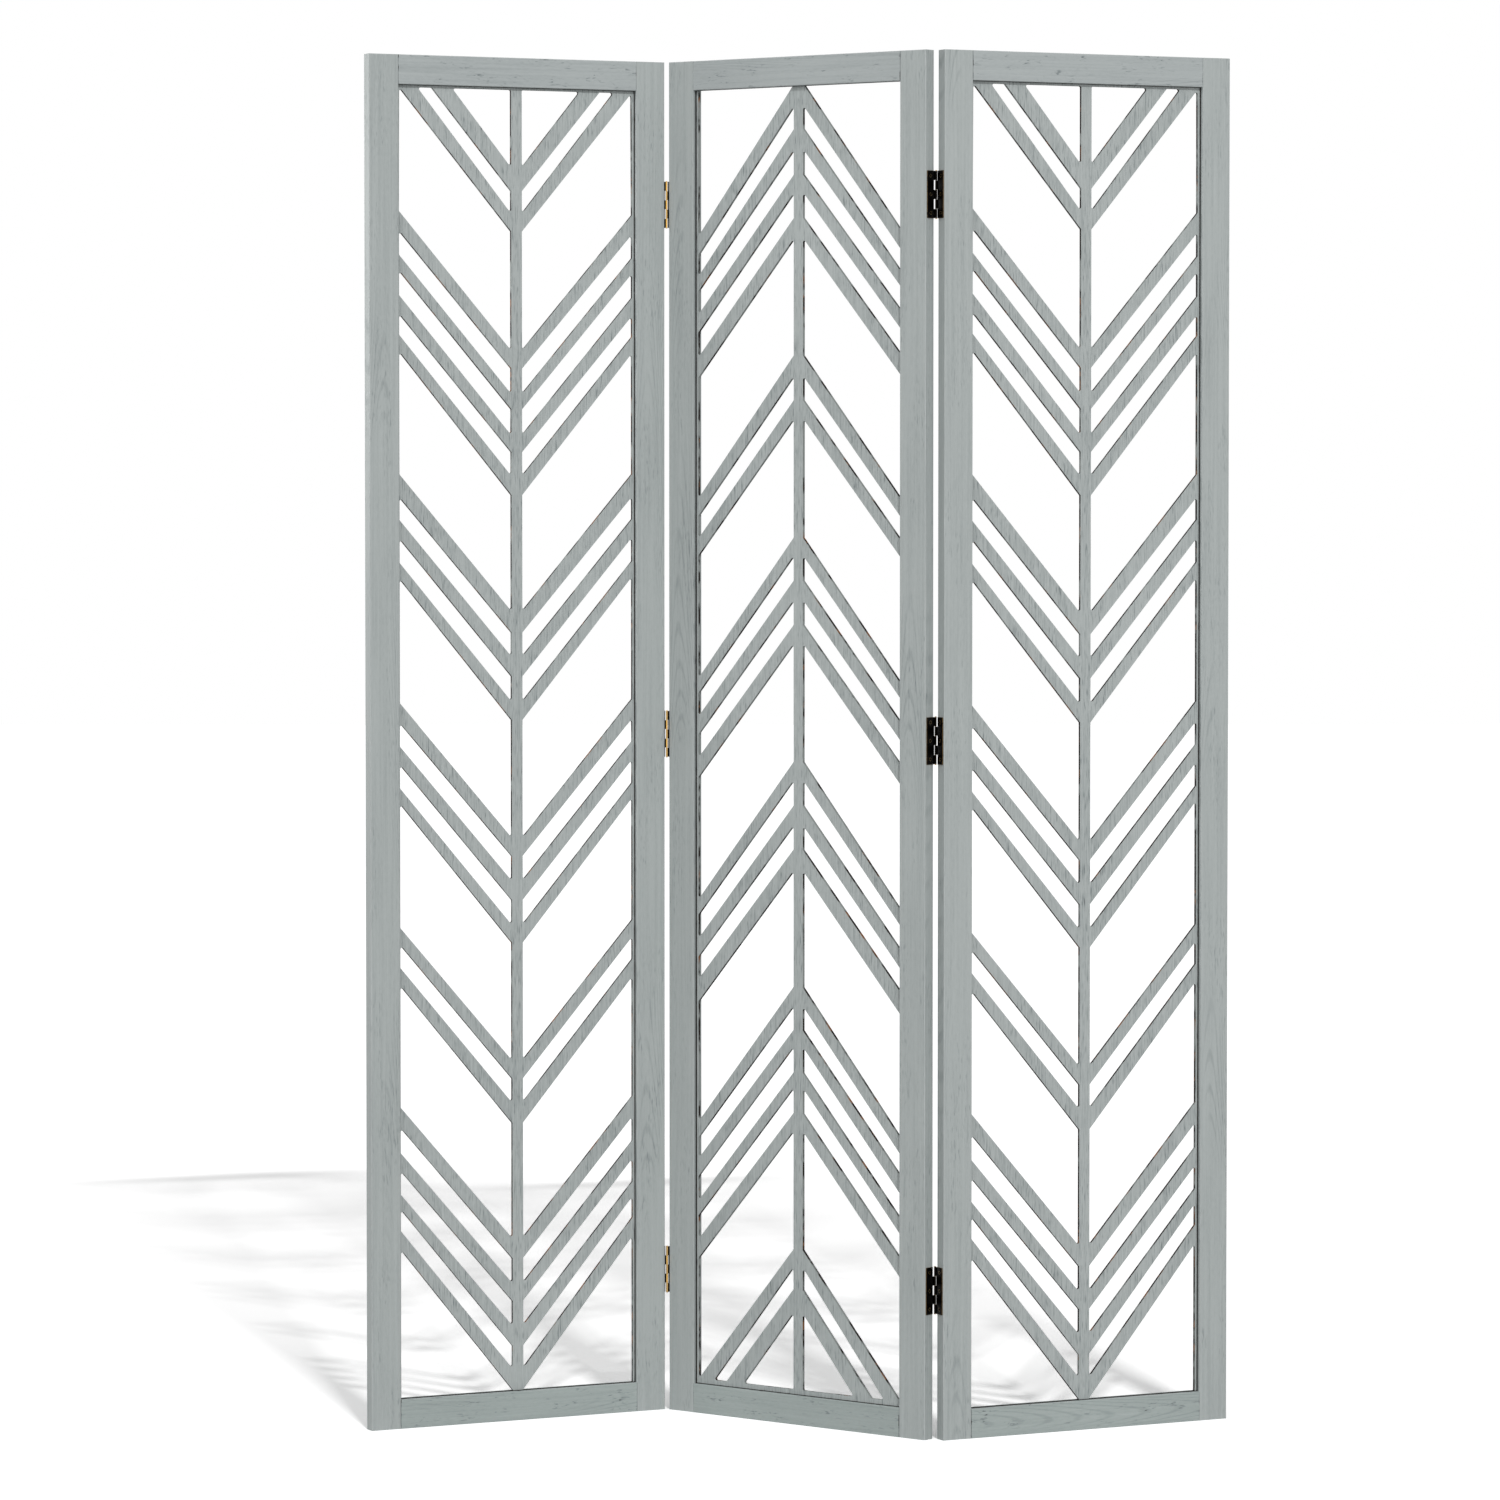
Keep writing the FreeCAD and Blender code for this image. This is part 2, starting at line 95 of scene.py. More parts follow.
def connect(node: bpy.types.Node, inputs: Inputs) -> None:
    """Set a node's inputs to values, or link them.

    Args:
        node: The node.
        inputs: What each socket gets, by its name or number, or as a list from the first socket on. It
            is a value, or the node or output to link from, or a list of them for one socket. A node
            stands for its first output in use.
    """
    for key, value in inputs.items() if isinstance(inputs, dict) else enumerate(inputs):
        for source in value if isinstance(value, list) else [value]:
            if isinstance(source, bpy.types.Node):
                source = next(output for output in source.outputs if output.enabled)
            if isinstance(source, bpy.types.NodeSocket):
                node.id_data.links.new(source, node.inputs[key])
            else:
                node.inputs[key].default_value = source


def add_node(tree: bpy.types.NodeTree, kind: str, inputs: Inputs | None = None,
             **settings: Any) -> bpy.types.Node:
    """Add one node to a tree, with its settings, values and links.

    Args:
        tree: The tree that gets the node.
        kind: Blender's name of the node's type.
        inputs: What the node's inputs get, as connect() takes it.
        settings: Properties of the node.

    Returns:
        The new node.
    """
    node = tree.nodes.new(kind)
    for name, value in settings.items():
        setattr(node, name, value)
    connect(node, inputs or [])
    return node


def new_material(name: str) -> tuple[bpy.types.Material, Adder]:
    """Make a material with an empty node tree.

    Args:
        name: The material's name.

    Returns:
        The material, and the function that adds a node to it.
    """
    material = bpy.data.materials.new(name)
    material.use_nodes = True
    material.node_tree.nodes.clear()
    return material, partial(add_node, material.node_tree)


def add_surface(add: Adder, looks: dict[str, Any], height: Source, relief: float,
                strength: float = 0.3) -> None:
    """Finish a material with its surface, in slight relief.

    Args:
        add: Adds a node to the material.
        looks: The surface's inputs.
        height: The pattern that stands out.
        relief: How far it stands out, in mm.
        strength: How much of that the light shows.
    """
    bump = add("ShaderNodeBump", {"Strength": strength, "Distance": relief * MM, "Height": height})
    shader = add("ShaderNodeBsdfPrincipled", {**looks, "Normal": bump})
    add("ShaderNodeOutputMaterial", {"Surface": shader})


def new_tree(name: str, inputs: dict[str, tuple[str, ...]]) -> tuple[bpy.types.NodeTree, Adder, Any]:
    """Make a Geometry Nodes tree with named inputs, which gives one piece.

    Args:
        name: The tree's name.
        inputs: The inputs' names, by the kind of their sockets.

    Returns:
        The tree, the function that adds a node to it, and the outputs that carry its inputs.
    """
    tree = bpy.data.node_groups.new(name, "GeometryNodeTree")
    for kind, names in inputs.items():
        for socket in names:
            tree.interface.new_socket(socket, in_out="INPUT", socket_type=f"NodeSocket{kind}")
    tree.interface.new_socket("Piece", in_out="OUTPUT", socket_type="NodeSocketGeometry")
    add = partial(add_node, tree)
    return tree, add, add("NodeGroupInput").outputs


def settle(piece: bpy.types.Object) -> None:
    """Turn a piece and its modifiers into one plain mesh.

    Args:
        piece: The piece, whose modifiers are removed.
    """
    bpy.context.view_layer.update()
    evaluated = piece.evaluated_get(bpy.context.evaluated_depsgraph_get())
    mesh = bpy.data.meshes.new_from_object(evaluated)
    mesh.name = piece.name
    piece.modifiers.clear()
    piece.data = mesh


def grow_mesh(name: str, seed: bpy.types.Mesh, tree: bpy.types.NodeTree, maker: Any,
              others: dict[str, Any]) -> bpy.types.Object:
    """Run a Geometry Nodes tree once and keep its result as a plain mesh.

    Args:
        name: The name of the finished piece.
        seed: The points that the tree starts from.
        tree: The Geometry Nodes tree.
        maker: The object whose sizes the tree's inputs take, such as Tip Length from tip_length.
        others: Values for the tree's other inputs.

    Returns:
        The finished piece, which has no modifier left.
    """
    sizes = {size.replace("_", " ").title(): value for size, value in vars(maker).items()} | others
    piece = bpy.data.objects.new(name, seed)
    bpy.context.scene.collection.objects.link(piece)
    modifier = piece.modifiers.new("pattern", "NODES")
    modifier.node_group = tree
    for item in tree.interface.items_tree:
        if item.in_out == "INPUT" and item.name in sizes:
            modifier[item.identifier] = sizes[item.name]
    settle(piece)
    # The seed had no material, and the tree keeps its empty slot in front of its own
    piece.data.materials.pop(index=0)
    return piece


def paint_node(node_name: str, material: bpy.types.Material) -> None:
    """Give a CAD node a material.

    Args:
        node_name: The CAD node's name.
        material: The material for all its slots.
    """
    for slot in frame["nodes"][node_name].material_slots:
        slot.material = material
    log.info("dressed %s in %s", node_name, material.name)


# Places


@dataclass(frozen=True)
class HingeEdge:
    """A panel's edge that carries three hinge leaves, with the pins at its front or its back."""

    joint: str
    right_hand: bool
    pin_behind: bool
    half_gap: float = 1.6
    pin_standoff: float = 2.5

    def pin(self) -> Pair:
        """Work out where the pins stand in the panel's frame.

        Returns:
            Their place across the panel and in its depth.
        """
        across = PANEL_WIDTH + self.half_gap if self.right_hand else -self.half_gap
        depth = FRAME_THICKNESS + self.pin_standoff if self.pin_behind else -self.pin_standoff
        return across, depth


@dataclass(frozen=True)
class PanelStand:
    """Where one panel stands on the floor: turned, with the pins of its first edge in their place."""

    name: str
    board: int
    turn: float
    edges: tuple[HingeEdge, ...]
    upside_down: bool = False

    @property
    def body(self) -> str:
        """The CAD body that the panel's pieces ride on."""
        return f"{self.name}_panel"

    @property
    def corner(self) -> Vector:
        """The foot of the panel's front left corner, in mm, in the screen's frame."""
        return Vector((*PIN_PLACES[self.edges[0].joint], 0.0)) - self.direction(*self.edges[0].pin())

    def direction(self, across: float, depth: float) -> Vector:
        """Turn a direction of the panel's frame into the screen's frame."""
        return Matrix.Rotation(math.radians(self.turn), 3, "Z") @ Vector((across, depth, 0.0))

    def point(self, across: float, depth: float, height: float) -> Vector:
        """Turn a point of the panel's frame, in mm, into the screen's frame, in metres."""
        return (self.corner + self.direction(across, depth) + Vector((0.0, 0.0, height))) * MM

    def coordinates(self, add: Adder) -> bpy.types.Node:
        """Add the panel's own coordinates, in mm, to a material.

        Args:
            add: Adds a node to the material.

        Returns:
            The node that gives the coordinates.
        """
        return add("ShaderNodeMapping", {
            "Vector": add("ShaderNodeTexCoord").outputs["Object"], "Location": self.corner * MM,
            "Rotation": (0.0, 0.0, math.radians(self.turn)), "Scale": (MM, MM, MM)},
            vector_type="TEXTURE")

    @staticmethod
    def distances(add: Adder, panel: Source) -> list[bpy.types.Node]:
        """Measure how far a place lies from the panel's nearest side, face and end.

        Args:
            add: Adds a node to the material.
            panel: The panel's coordinates.

        Returns:
            The nodes that give the three distances, in mm.
        """
        parts = add("ShaderNodeSeparateXYZ", [panel]).outputs
        return [add("ShaderNodeMath", [part, size / 2], operation="PINGPONG")
                for part, size in zip(parts, (PANEL_WIDTH, FRAME_THICKNESS, PANEL_HEIGHT))]


# Finishes


class GrainRun(Enum):
    """The way that the grain of a board runs."""

    UPRIGHT = "upright"
    LEVEL = "level"

    def spread(self, across: float, along: float) -> tuple[float, float, float]:
        """One vector of a value across the grain and a value along it."""
        return (across, across, along) if self is GrainRun.UPRIGHT else (along, across, across)


@dataclass(frozen=True)
class MattPaint:
    """Thin matt water-based paint over open-grained wood.

    The film gives the eye one flat grey-green, and the grain shows through it as soft streaks, as
    short dark dashes where pores stay open, and now and then as the arched lines of a flat-sawn board.
    A cell is the size of a noise's patches, across and along the grain. Levels are the two values of
    a noise between which a mark shows. A gain or a depth is a mark's share in the tone.
    """

    name: str
    stand: PanelStand
    run: GrainRun
    film: str = "A6ACAB"
    sunk: str = "747C7D"
    raised: str = "BDC2C1"
    # The near-black that the grooves and the sheet's rim in them are painted with, as painted shade
    unpainted: str = "2C2523"
    film_tone: float = 0.5
    sunk_tone: float = 0.05
    raised_tone: float = 0.95
    # Each panel is cut from other boards, so its grain is taken this much further along the noise
    board_step: float = 2300.0
    # The grain wanders by a few millimetres over the length of a board
    sway: float = 4.0
    sway_cell: Pair = (60.0, 380.0)
    # Grain streaks are about 0.7 mm apart in pine. They are drawn 3 mm apart, so that they show
    streak_cell: Pair = (3.0, 170.0)
    streak_gain: float = 0.36
    grit_cell: Pair = (1.4, 7.0)
    grit_gain: float = 0.2
    cloud_cell: Pair = (120.0, 260.0)
    cloud_gain: float = 0.2
    # Open pores are 0.2 mm wide and 3 mm long. They are drawn 1.6 mm wide, so that they show
    pore_cell: Pair = (1.6, 13.0)
    pore_levels: Pair = (0.56, 0.72)
    pore_bend: float = 0.0
    pore_depth: float = 0.22
    # Only patches of a board have open pores
    patch_cell: Pair = (30.0, 150.0)
    patch_levels: Pair = (0.47, 0.59)
    # The arched lines: where the arch's crest lies, how far from it a line falls by one pitch, the
    # pitch along the board, how many pitches the slow noise bends a line, and the part of a wave
    # between two lines that shows
    figure_depth: float = 0.14
    figure_from: float = 0.53
    arch_crest: float = 21.0
    arch_reach: float = 10.0
    ring_pitch: float = 46.0
    ring_bend: float = 5.0
    ring_levels: Pair = (0.35, 1.0)
    # Marks of the frame: pale eased edges that are partly a painted highlight, butt lines, and painted shade
    # beside the sheet and in the grooves
    is_frame: bool = True
    rubbed_gain: float = 0.3
    cracked_depth: float = 0.5
    shaded_depth: float = 0.6
    groove_depth: float = 0.9
    roughness: float = 0.62
    # How much smoother raised paint is than sunk paint
    polish: float = 0.12
    relief: float = 0.2

    def build(self) -> bpy.types.Material:
        """Make the material.

        Returns:
            The finished material.
        """
        material, add = new_material(self.name)
        spread = self.run.spread
        panel = self.stand.coordinates(add)
        place = add("ShaderNodeVectorMath", [
            panel, spread(0.0, self.board_step * self.stand.board)], operation="ADD")
        across, along = self.sway_cell
        board = add("ShaderNodeMapping", {"Vector": place, "Scale": spread(1 / across, 1 / along)})
        slow = add("ShaderNodeTexNoise", {
            "Vector": board, "Scale": 1.0, "Detail": 1.0, "Roughness": 0.55})
        swayed = add("ShaderNodeVectorMath", [
            slow.outputs["Color"], spread(self.sway, 0.0), place], operation="MULTIPLY_ADD")

        noises = []
        for source, (across, along), detail, bend in (
                (swayed, self.streak_cell, 4.0, 0.0),
                (swayed, self.grit_cell, 2.0, 0.0),
                (swayed, self.pore_cell, 1.0, self.pore_bend),
                (place, self.patch_cell, 2.0, 0.0),
                (place, self.cloud_cell, 1.0, 0.0)):
            noises.append(add("ShaderNodeTexNoise", {
                "Vector": add("ShaderNodeMapping", {
                    "Vector": source, "Scale": spread(1 / across, 1 / along)}),
                "Scale": 1.0, "Detail": detail, "Roughness": 0.55, "Distortion": bend}))
        streak, grit, pore, patch, cloud = noises
        open_pore, pored_patch = (
            add("ShaderNodeMapRange", [noise, low, high])
            for noise, (low, high) in ((pore, self.pore_levels), (patch, self.patch_levels)))
        pores = add("ShaderNodeMath", [open_pore, pored_patch], operation="MULTIPLY")

        # The layers add up around the film's own tone
        layers = [(streak, self.streak_gain), (grit, self.grit_gain), (cloud, self.cloud_gain),
                  (pores, -self.pore_depth)]
        tone: Source | float = self.film_tone - (self.streak_gain + self.grit_gain + self.cloud_gain) / 2
        if self.figure_depth:
            layers.append((self.figure(add, swayed, slow), -self.figure_depth))
        layers += self.frame_marks(add, panel, patch) if self.is_frame else self.sheet_marks(add, panel)
        for layer, weight in layers:
            tone = add("ShaderNodeMath", [layer, weight, tone], operation="MULTIPLY_ADD")

        # The tone runs from the grooves' painted shade through sunk paint and the film to raised paint
        ramp = add("ShaderNodeValToRGB", [tone])
        stops = ramp.color_ramp.elements
        stops[0].color = linear(self.unpainted)
        stops[1].position, stops[1].color = self.raised_tone, linear(self.raised)
        stops.new(self.sunk_tone).color = linear(self.sunk)
        stops.new(self.film_tone).color = linear(self.film)
        rough = add("ShaderNodeMath", [
            tone, -self.polish, self.roughness + self.polish / 2], operation="MULTIPLY_ADD")
        add_surface(add, {
            "Base Color": ramp, "Roughness": rough, "IOR": 1.48, "Specular IOR Level": 0.32},
            tone, self.relief, strength=0.5)
        return material

    def figure(self, add: Adder, place: Source, slow: Source) -> bpy.types.Node:
        """Draw the arched lines of a flat-sawn board, in stretches.

        Args:
            add: Adds a node to the material.
            place: The wandering coordinates, in mm.
            slow: Slow noise that bends the arches and says where they show.

        Returns:
            The node that gives 1 on a line.
        """
        parts = add("ShaderNodeSeparateXYZ", [place]).outputs
        side, length, half = parts[0], parts[2], PANEL_WIDTH / 2
        if self.run is GrainRun.LEVEL:
            side, length, half = parts[2], parts[0], PANEL_HEIGHT / 2
        # Both boards of a pair are folded onto one, and the arch's crest lies near its middle
        folded = add("ShaderNodeMath", [side, half], operation="PINGPONG")
        off_crest = add("ShaderNodeMath", [
            folded, 1 / self.arch_reach, -self.arch_crest / self.arch_reach], operation="MULTIPLY_ADD")
        arch = add("ShaderNodeMath", [off_crest, 2.0], operation="POWER")
        rings = add("ShaderNodeMath", [length, 1 / self.ring_pitch, arch], operation="MULTIPLY_ADD")
        bent = add("ShaderNodeMath", [slow, self.ring_bend, rings], operation="MULTIPLY_ADD")
        turns = add("ShaderNodeMath", [bent, 2 * math.pi], operation="MULTIPLY")
        wave = add("ShaderNodeMath", [turns], operation="SINE")
        line = add("ShaderNodeMapRange", [wave, *self.ring_levels])
        shown = add("ShaderNodeMapRange", [slow, self.figure_from, self.figure_from + 0.1])
        return add("ShaderNodeMath", [line, shown], operation="MULTIPLY")

    def frame_marks(self, add: Adder, panel: Source, patch: Source) -> list[tuple[Source, float]]:
        """Mark the frame's eased edges, its butt lines, the walls beside the sheet and the grooves.

        Handling has polished the paint thin and pale on the eased edges, and the pale edge is partly a
        painted highlight. The film has sunk and cracked here and there on the butt lines. The walls
        beside the sheet get painted shade that deepens towards the sheet, and the grooves are painted
        near-black as shade.

        Args:
            add: Adds a node to the material.
            panel: The panel's coordinates.
            patch: Noise that says which stretches get the pale edge or the cracks.

        Returns:
            The node that gives 1 on each mark, with the mark's share in the tone.
        """
        from_side, from_face, from_end = self.stand.distances(add, panel)
        nearest = add("ShaderNodeMath", [from_side, from_end], operation="MINIMUM")
        corner = add("ShaderNodeMath", [nearest, from_face], operation="MAXIMUM")
        # A butt line is 0.3 mm wide and drawn 0.9 mm wide
        off_line = add("ShaderNodeMath", [from_side, STILE_WIDTH, 0.45], operation="COMPARE")
        side_floor, end_floor = STILE_WIDTH - GROOVE_DEPTH, RAIL_WIDTH - GROOVE_DEPTH
        marks = []
        # A mark is the product of its factors, each a value that gives 0 at one level and 1 at another
        for weight, factors in (
                # Pale eased edges: rubbed paint, and partly a painted highlight
                (self.rubbed_gain, ((corner, 1.0, 0.3), (patch, 0.4, 0.6))),
                (-self.cracked_depth, ((off_line, 0.0, 1.0), (patch, 0.42, 0.6),
                                       (from_end, RAIL_WIDTH + 0.1, RAIL_WIDTH - 0.1))),
                # Painted shade on the walls beside the sheet, deeper towards it
                (-self.shaded_depth, ((from_side, STILE_WIDTH - 0.4, STILE_WIDTH - 0.1),
                                      (from_end, RAIL_WIDTH - 0.4, RAIL_WIDTH - 0.1),
                                      (from_face, 2.0, 6.5))),
                # Painted shade: the grooves go near-black
                (-self.groove_depth, ((from_side, side_floor, side_floor + 0.1),
                                      (from_end, end_floor, end_floor + 0.1),
                                      (from_face, GROOVE_FROM_FACE - 0.4, GROOVE_FROM_FACE - 0.1)))):
            mark: Source | float = 1.0
            for value, low, high in factors:
                factor = add("ShaderNodeMapRange", [value, low, high])
                mark = add("ShaderNodeMath", [factor, mark], operation="MULTIPLY")
            marks.append((mark, weight))
        return marks

    def sheet_marks(self, add: Adder, panel: Source) -> list[tuple[Source, float]]:
        """Paint shade on the rim of a sheet inside the frame's grooves and up to 0.8 mm beyond their lips.

        Args:
            add: Adds a node to the material.
            panel: The panel's coordinates.

        Returns:
            The node that gives 1 inside the grooves, with the mark's share in the tone.
        """
        from_side, _, from_end = self.stand.distances(add, panel)
        # Painted shade on the sheet's rim, at the frame's inner edge
        shaded_rims = [add("ShaderNodeMapRange", [value, width + 0.8, width + 0.2])
                for value, width in ((from_side, STILE_WIDTH), (from_end, RAIL_WIDTH))]
        return [(add("ShaderNodeMath", [shaded_rims[0], shaded_rims[1]], operation="MAXIMUM"), -1.0)]


@dataclass(frozen=True)
class CutPlyEdge:
    """The cut edge of thin plywood, scorched by the cutter and dusted with paint.

    It gives the eye a dull grey edge where the paint spray reached it, with nearly black stretches
    where it is scorched and short orange-brown ones where the wood stayed bare.
    """

    stand: PanelStand
    scorched: str = "1C1613"
    bare: str = "8A6246"
    dusted: str = "8E9391"
    # The tint of the middle ply's end grain
    end_grain: str = "DAD4CE"
    scorch_length: float = 22.0
    dust_length: float = 28.0
    # The levels of slow noise under which the edge is burnt, and from which it is dusted
    burnt_under: float = 0.64
    dusted_from: float = 0.42
    roughness: float = 0.85
    relief: float = 0.2

    def build(self) -> bpy.types.Material:
        """Make the material.

        Returns:
            The finished material.
        """
        material, add = new_material(f"cut_ply_edge_{self.stand.name}")
        place = self.stand.coordinates(add)
        _, from_face, from_end = self.stand.distances(add, place)
        # Three plies of 1.3 mm, of which the middle one shows its end grain
        middle = FRAME_THICKNESS / 2
        core = add("ShaderNodeMapRange", [from_face, middle - 1.2, middle - 0.5])
        scorch, dust = (
            add("ShaderNodeTexNoise", {
                "Vector": place, "Scale": 1 / length, "Detail": 3.0, "Roughness": roughness})
            for length, roughness in ((self.scorch_length, 0.6), (self.dust_length, 0.55)))
        burnt = add("ShaderNodeMapRange", [scorch, self.burnt_under, self.burnt_under - 0.06])
        dusty = add("ShaderNodeMapRange", [dust, self.dusted_from, self.dusted_from + 0.1])
        # The edge that lies in a rail's groove gets no dust and stays scorched dark: partly its own colour, partly
        # painted shade in the groove
        in_sight = add("ShaderNodeMapRange", [from_end, RAIL_WIDTH, RAIL_WIDTH + 0.5])
        dusting = add("ShaderNodeMath", [dusty, in_sight], operation="MULTIPLY")
        wood = add("ShaderNodeMix", {0: burnt, 6: linear(self.bare), 7: linear(self.scorched)},
                   data_type="RGBA")
        plies = add("ShaderNodeMix", {0: core, 6: wood, 7: linear(self.end_grain)},
                    data_type="RGBA", blend_type="MULTIPLY")
        colour = add("ShaderNodeMix", {0: dusting, 6: plies, 7: linear(self.dusted)}, data_type="RGBA")
        add_surface(add, {
            "Base Color": colour, "Roughness": self.roughness, "Specular IOR Level": 0.2},
            scorch, self.relief, strength=0.4)
        return material


@dataclass(frozen=True)
class BronzedSteel:
    """Steel strip of a hinge with dark bronzed plating.

    It gives the eye a near-black brown with a dull gleam, and thin brass-coloured lines where the
    plating has worn off the leaf's edges. The barrel's side that faces out has a painted highlight.
    """

    name: str
    joint: str
    # The way that the barrel's painted highlight faces, away from the panels
    open_side: Pair
    # The colour of the barrel's painted highlight
    barrel: str
    plating: str = "14110F"
    worn: str = "6E583A"
    # How far the leaf's end lies from the pin's axis
    leaf_end: float = 17.0
    # The barrel's radius, with 0.1 mm to spare
    barrel_radius: float = 1.4
    # Scuffs are about 2.9 mm across
    scuff_size: float = 20 / 7
    roughness: Pair = (0.36, 0.56)
    relief: float = 0.05

    def build(self) -> bpy.types.Material:
        """Make the material.

        Returns:
            The finished material.
        """
        material, add = new_material(self.name)
        place = add("ShaderNodeMapping", {
            "Vector": add("ShaderNodeTexCoord").outputs["Object"], "Scale": (MM, MM, MM),
            "Location": Vector((*PIN_PLACES[self.joint], 0.0)) * MM}, vector_type="TEXTURE")
        flat = add("ShaderNodeVectorMath", [place, (1.0, 1.0, 0.0)], operation="MULTIPLY")
        reach = add("ShaderNodeVectorMath", [flat], operation="LENGTH")
        height = add("ShaderNodeSeparateXYZ", [place]).outputs[2]
        from_middle: Source | float = PANEL_HEIGHT
        for centre in HINGE_HEIGHTS[self.joint]:
            offset = add("ShaderNodeMath", [height, centre], operation="SUBTRACT")
            size = add("ShaderNodeMath", [offset], operation="ABSOLUTE")
            from_middle = add("ShaderNodeMath", [size, from_middle], operation="MINIMUM")
        end_edge, top_edge = (
            add("ShaderNodeMapRange", [value, edge - 0.5, edge - 0.1])
            for value, edge in ((reach, self.leaf_end), (from_middle, HINGE_LENGTH / 2)))
        edge = add("ShaderNodeMath", [end_edge, top_edge], operation="MAXIMUM")
        scuffs = add("ShaderNodeTexNoise", {
            "Vector": place, "Scale": 1 / self.scuff_size, "Detail": 4.0, "Roughness": 0.6})
        kept = add("ShaderNodeMapRange", [scuffs, 0.3, 0.5])
        wear = add("ShaderNodeMath", [edge, kept], operation="MULTIPLY")
        leaf = add("ShaderNodeMix", {0: wear, 6: linear(self.plating), 7: linear(self.worn)},
                   data_type="RGBA")
        # A painted highlight on the barrel's side that faces out
        at_barrel = add("ShaderNodeMapRange", [reach, self.barrel_radius + 0.1, self.barrel_radius])
        outward = (*self.open_side, 0.0)
        looks_out = add("ShaderNodeVectorMath", [place, outward], operation="DOT_PRODUCT")
        painted_highlight = add("ShaderNodeMapRange", [looks_out, 0.0, 0.6])
        bright = add("ShaderNodeMath", [at_barrel, painted_highlight], operation="MULTIPLY")
        colour = add("ShaderNodeMix", {0: bright, 6: leaf, 7: linear(self.barrel)}, data_type="RGBA")
        rough = add("ShaderNodeMapRange", [scuffs, 0.3, 0.7, *self.roughness])
        add_surface(add, {
            "Base Color": colour, "Metallic": 1.0, "Roughness": rough}, scuffs, self.relief)
        return material


@dataclass(frozen=True)
class PlatedScrew:
    """A bronzed steel screw, worn to brass by the driver and the leaf.

    It gives the eye a dark head with a bright rim and bright walls in the cross recess. The bright
    rim is partly wear and partly a painted highlight.
    """

    plating: str = "2A241F"
    worn: str = "A8946C"
    # Scuffs are about 1.1 mm across
    scuff_size: float = 10 / 9
    roughness: Pair = (0.3, 0.5)
    relief: float = 0.04

    def build(self) -> bpy.types.Material:
        """Make the material.

        Returns:
            The finished material.
        """
        material, add = new_material("plated_screw")
        from_axis = add("ShaderNodeAttribute", attribute_name="from_axis").outputs["Fac"]
        scuffs = add("ShaderNodeTexNoise", {
            "Vector": add("ShaderNodeTexCoord").outputs["Object"],
            "Scale": 1 / (self.scuff_size * MM), "Detail": 3.0})
        # The brass ring round the head: partly wear, partly a painted highlight
        rim = add("ShaderNodeMapRange", [from_axis, 0.6, 0.92])
        patchy = add("ShaderNodeMath", [rim, scuffs], operation="MULTIPLY")
        wear = add("ShaderNodeMapRange", [patchy, 0.2, 0.5])
        colour = add("ShaderNodeMix", {0: wear, 6: linear(self.plating), 7: linear(self.worn)},
                     data_type="RGBA")
        rough = add("ShaderNodeMapRange", [scuffs, 0.3, 0.7, *self.roughness])
        add_surface(add, {
            "Base Color": colour, "Metallic": 1.0, "Roughness": rough}, scuffs, self.relief)
        return material


@dataclass(frozen=True)
class WornBrass:
    """Brass plating on the hinge pins, dull and bright in short drawing marks that run around the pin."""

    bright: str = "CDA866"
    dull: str = "7A5A32"
    # Drawing marks run around the pin. They are about 6.7 mm long and 0.7 mm wide
    mark_length: float = 20 / 3
    mark_width: float = 5 / 7
    roughness: Pair = (0.25, 0.45)

    def build(self) -> bpy.types.Material:
        """Make the material.

        Returns:
            The finished material.
        """
        material, add = new_material("worn_brass_pin")
        around, along = 1 / (self.mark_length * MM), 1 / (self.mark_width * MM)
        rings = add("ShaderNodeMapping", {
            "Vector": add("ShaderNodeTexCoord").outputs["Object"], "Scale": (around, around, along)})
        drawn = add("ShaderNodeTexNoise", {"Vector": rings, "Scale": 1.0, "Detail": 3.0})
        dulled = add("ShaderNodeMapRange", [drawn, 0.4, 0.65])
        colour = add("ShaderNodeMix", {0: dulled, 6: linear(self.bright), 7: linear(self.dull)},
                     data_type="RGBA")
        rough = add("ShaderNodeMapRange", [drawn, 0.3, 0.7, *self.roughness])
        shader = add("ShaderNodeBsdfPrincipled", {
            "Base Color": colour, "Metallic": 1.0, "Roughness": rough})
        add("ShaderNodeOutputMaterial", {"Surface": shader})
        return material


@dataclass(frozen=True)
class BareBeech:
    """Turned beech of a dowel: pale pinkish brown with short darker flecks along its length."""

    stand: PanelStand
    wood: str = "C39A72"
    fleck: str = "9C7350"
    fleck_length: float = 2.0
    fleck_width: float = 0.4
    roughness: float = 0.6
    relief: float = 0.1

    def build(self) -> bpy.types.Material:
        """Make the material.

        Returns:
            The finished material.
        """
        material, add = new_material(f"bare_beech_{self.stand.name}")
        stretched = add("ShaderNodeMapping", {
            "Vector": self.stand.coordinates(add),
            "Scale": GrainRun.LEVEL.spread(1 / self.fleck_width, 1 / self.fleck_length)})
        flecks = add("ShaderNodeTexNoise", {"Vector": stretched, "Scale": 1.0, "Detail": 3.0})
        shown = add("ShaderNodeMapRange", [flecks, 0.5, 0.68])
        colour = add("ShaderNodeMix", {0: shown, 6: linear(self.wood), 7: linear(self.fleck)},
                     data_type="RGBA")
        add_surface(add, {"Base Color": colour, "Roughness": self.roughness}, flecks, self.relief)
        return material


# Pieces


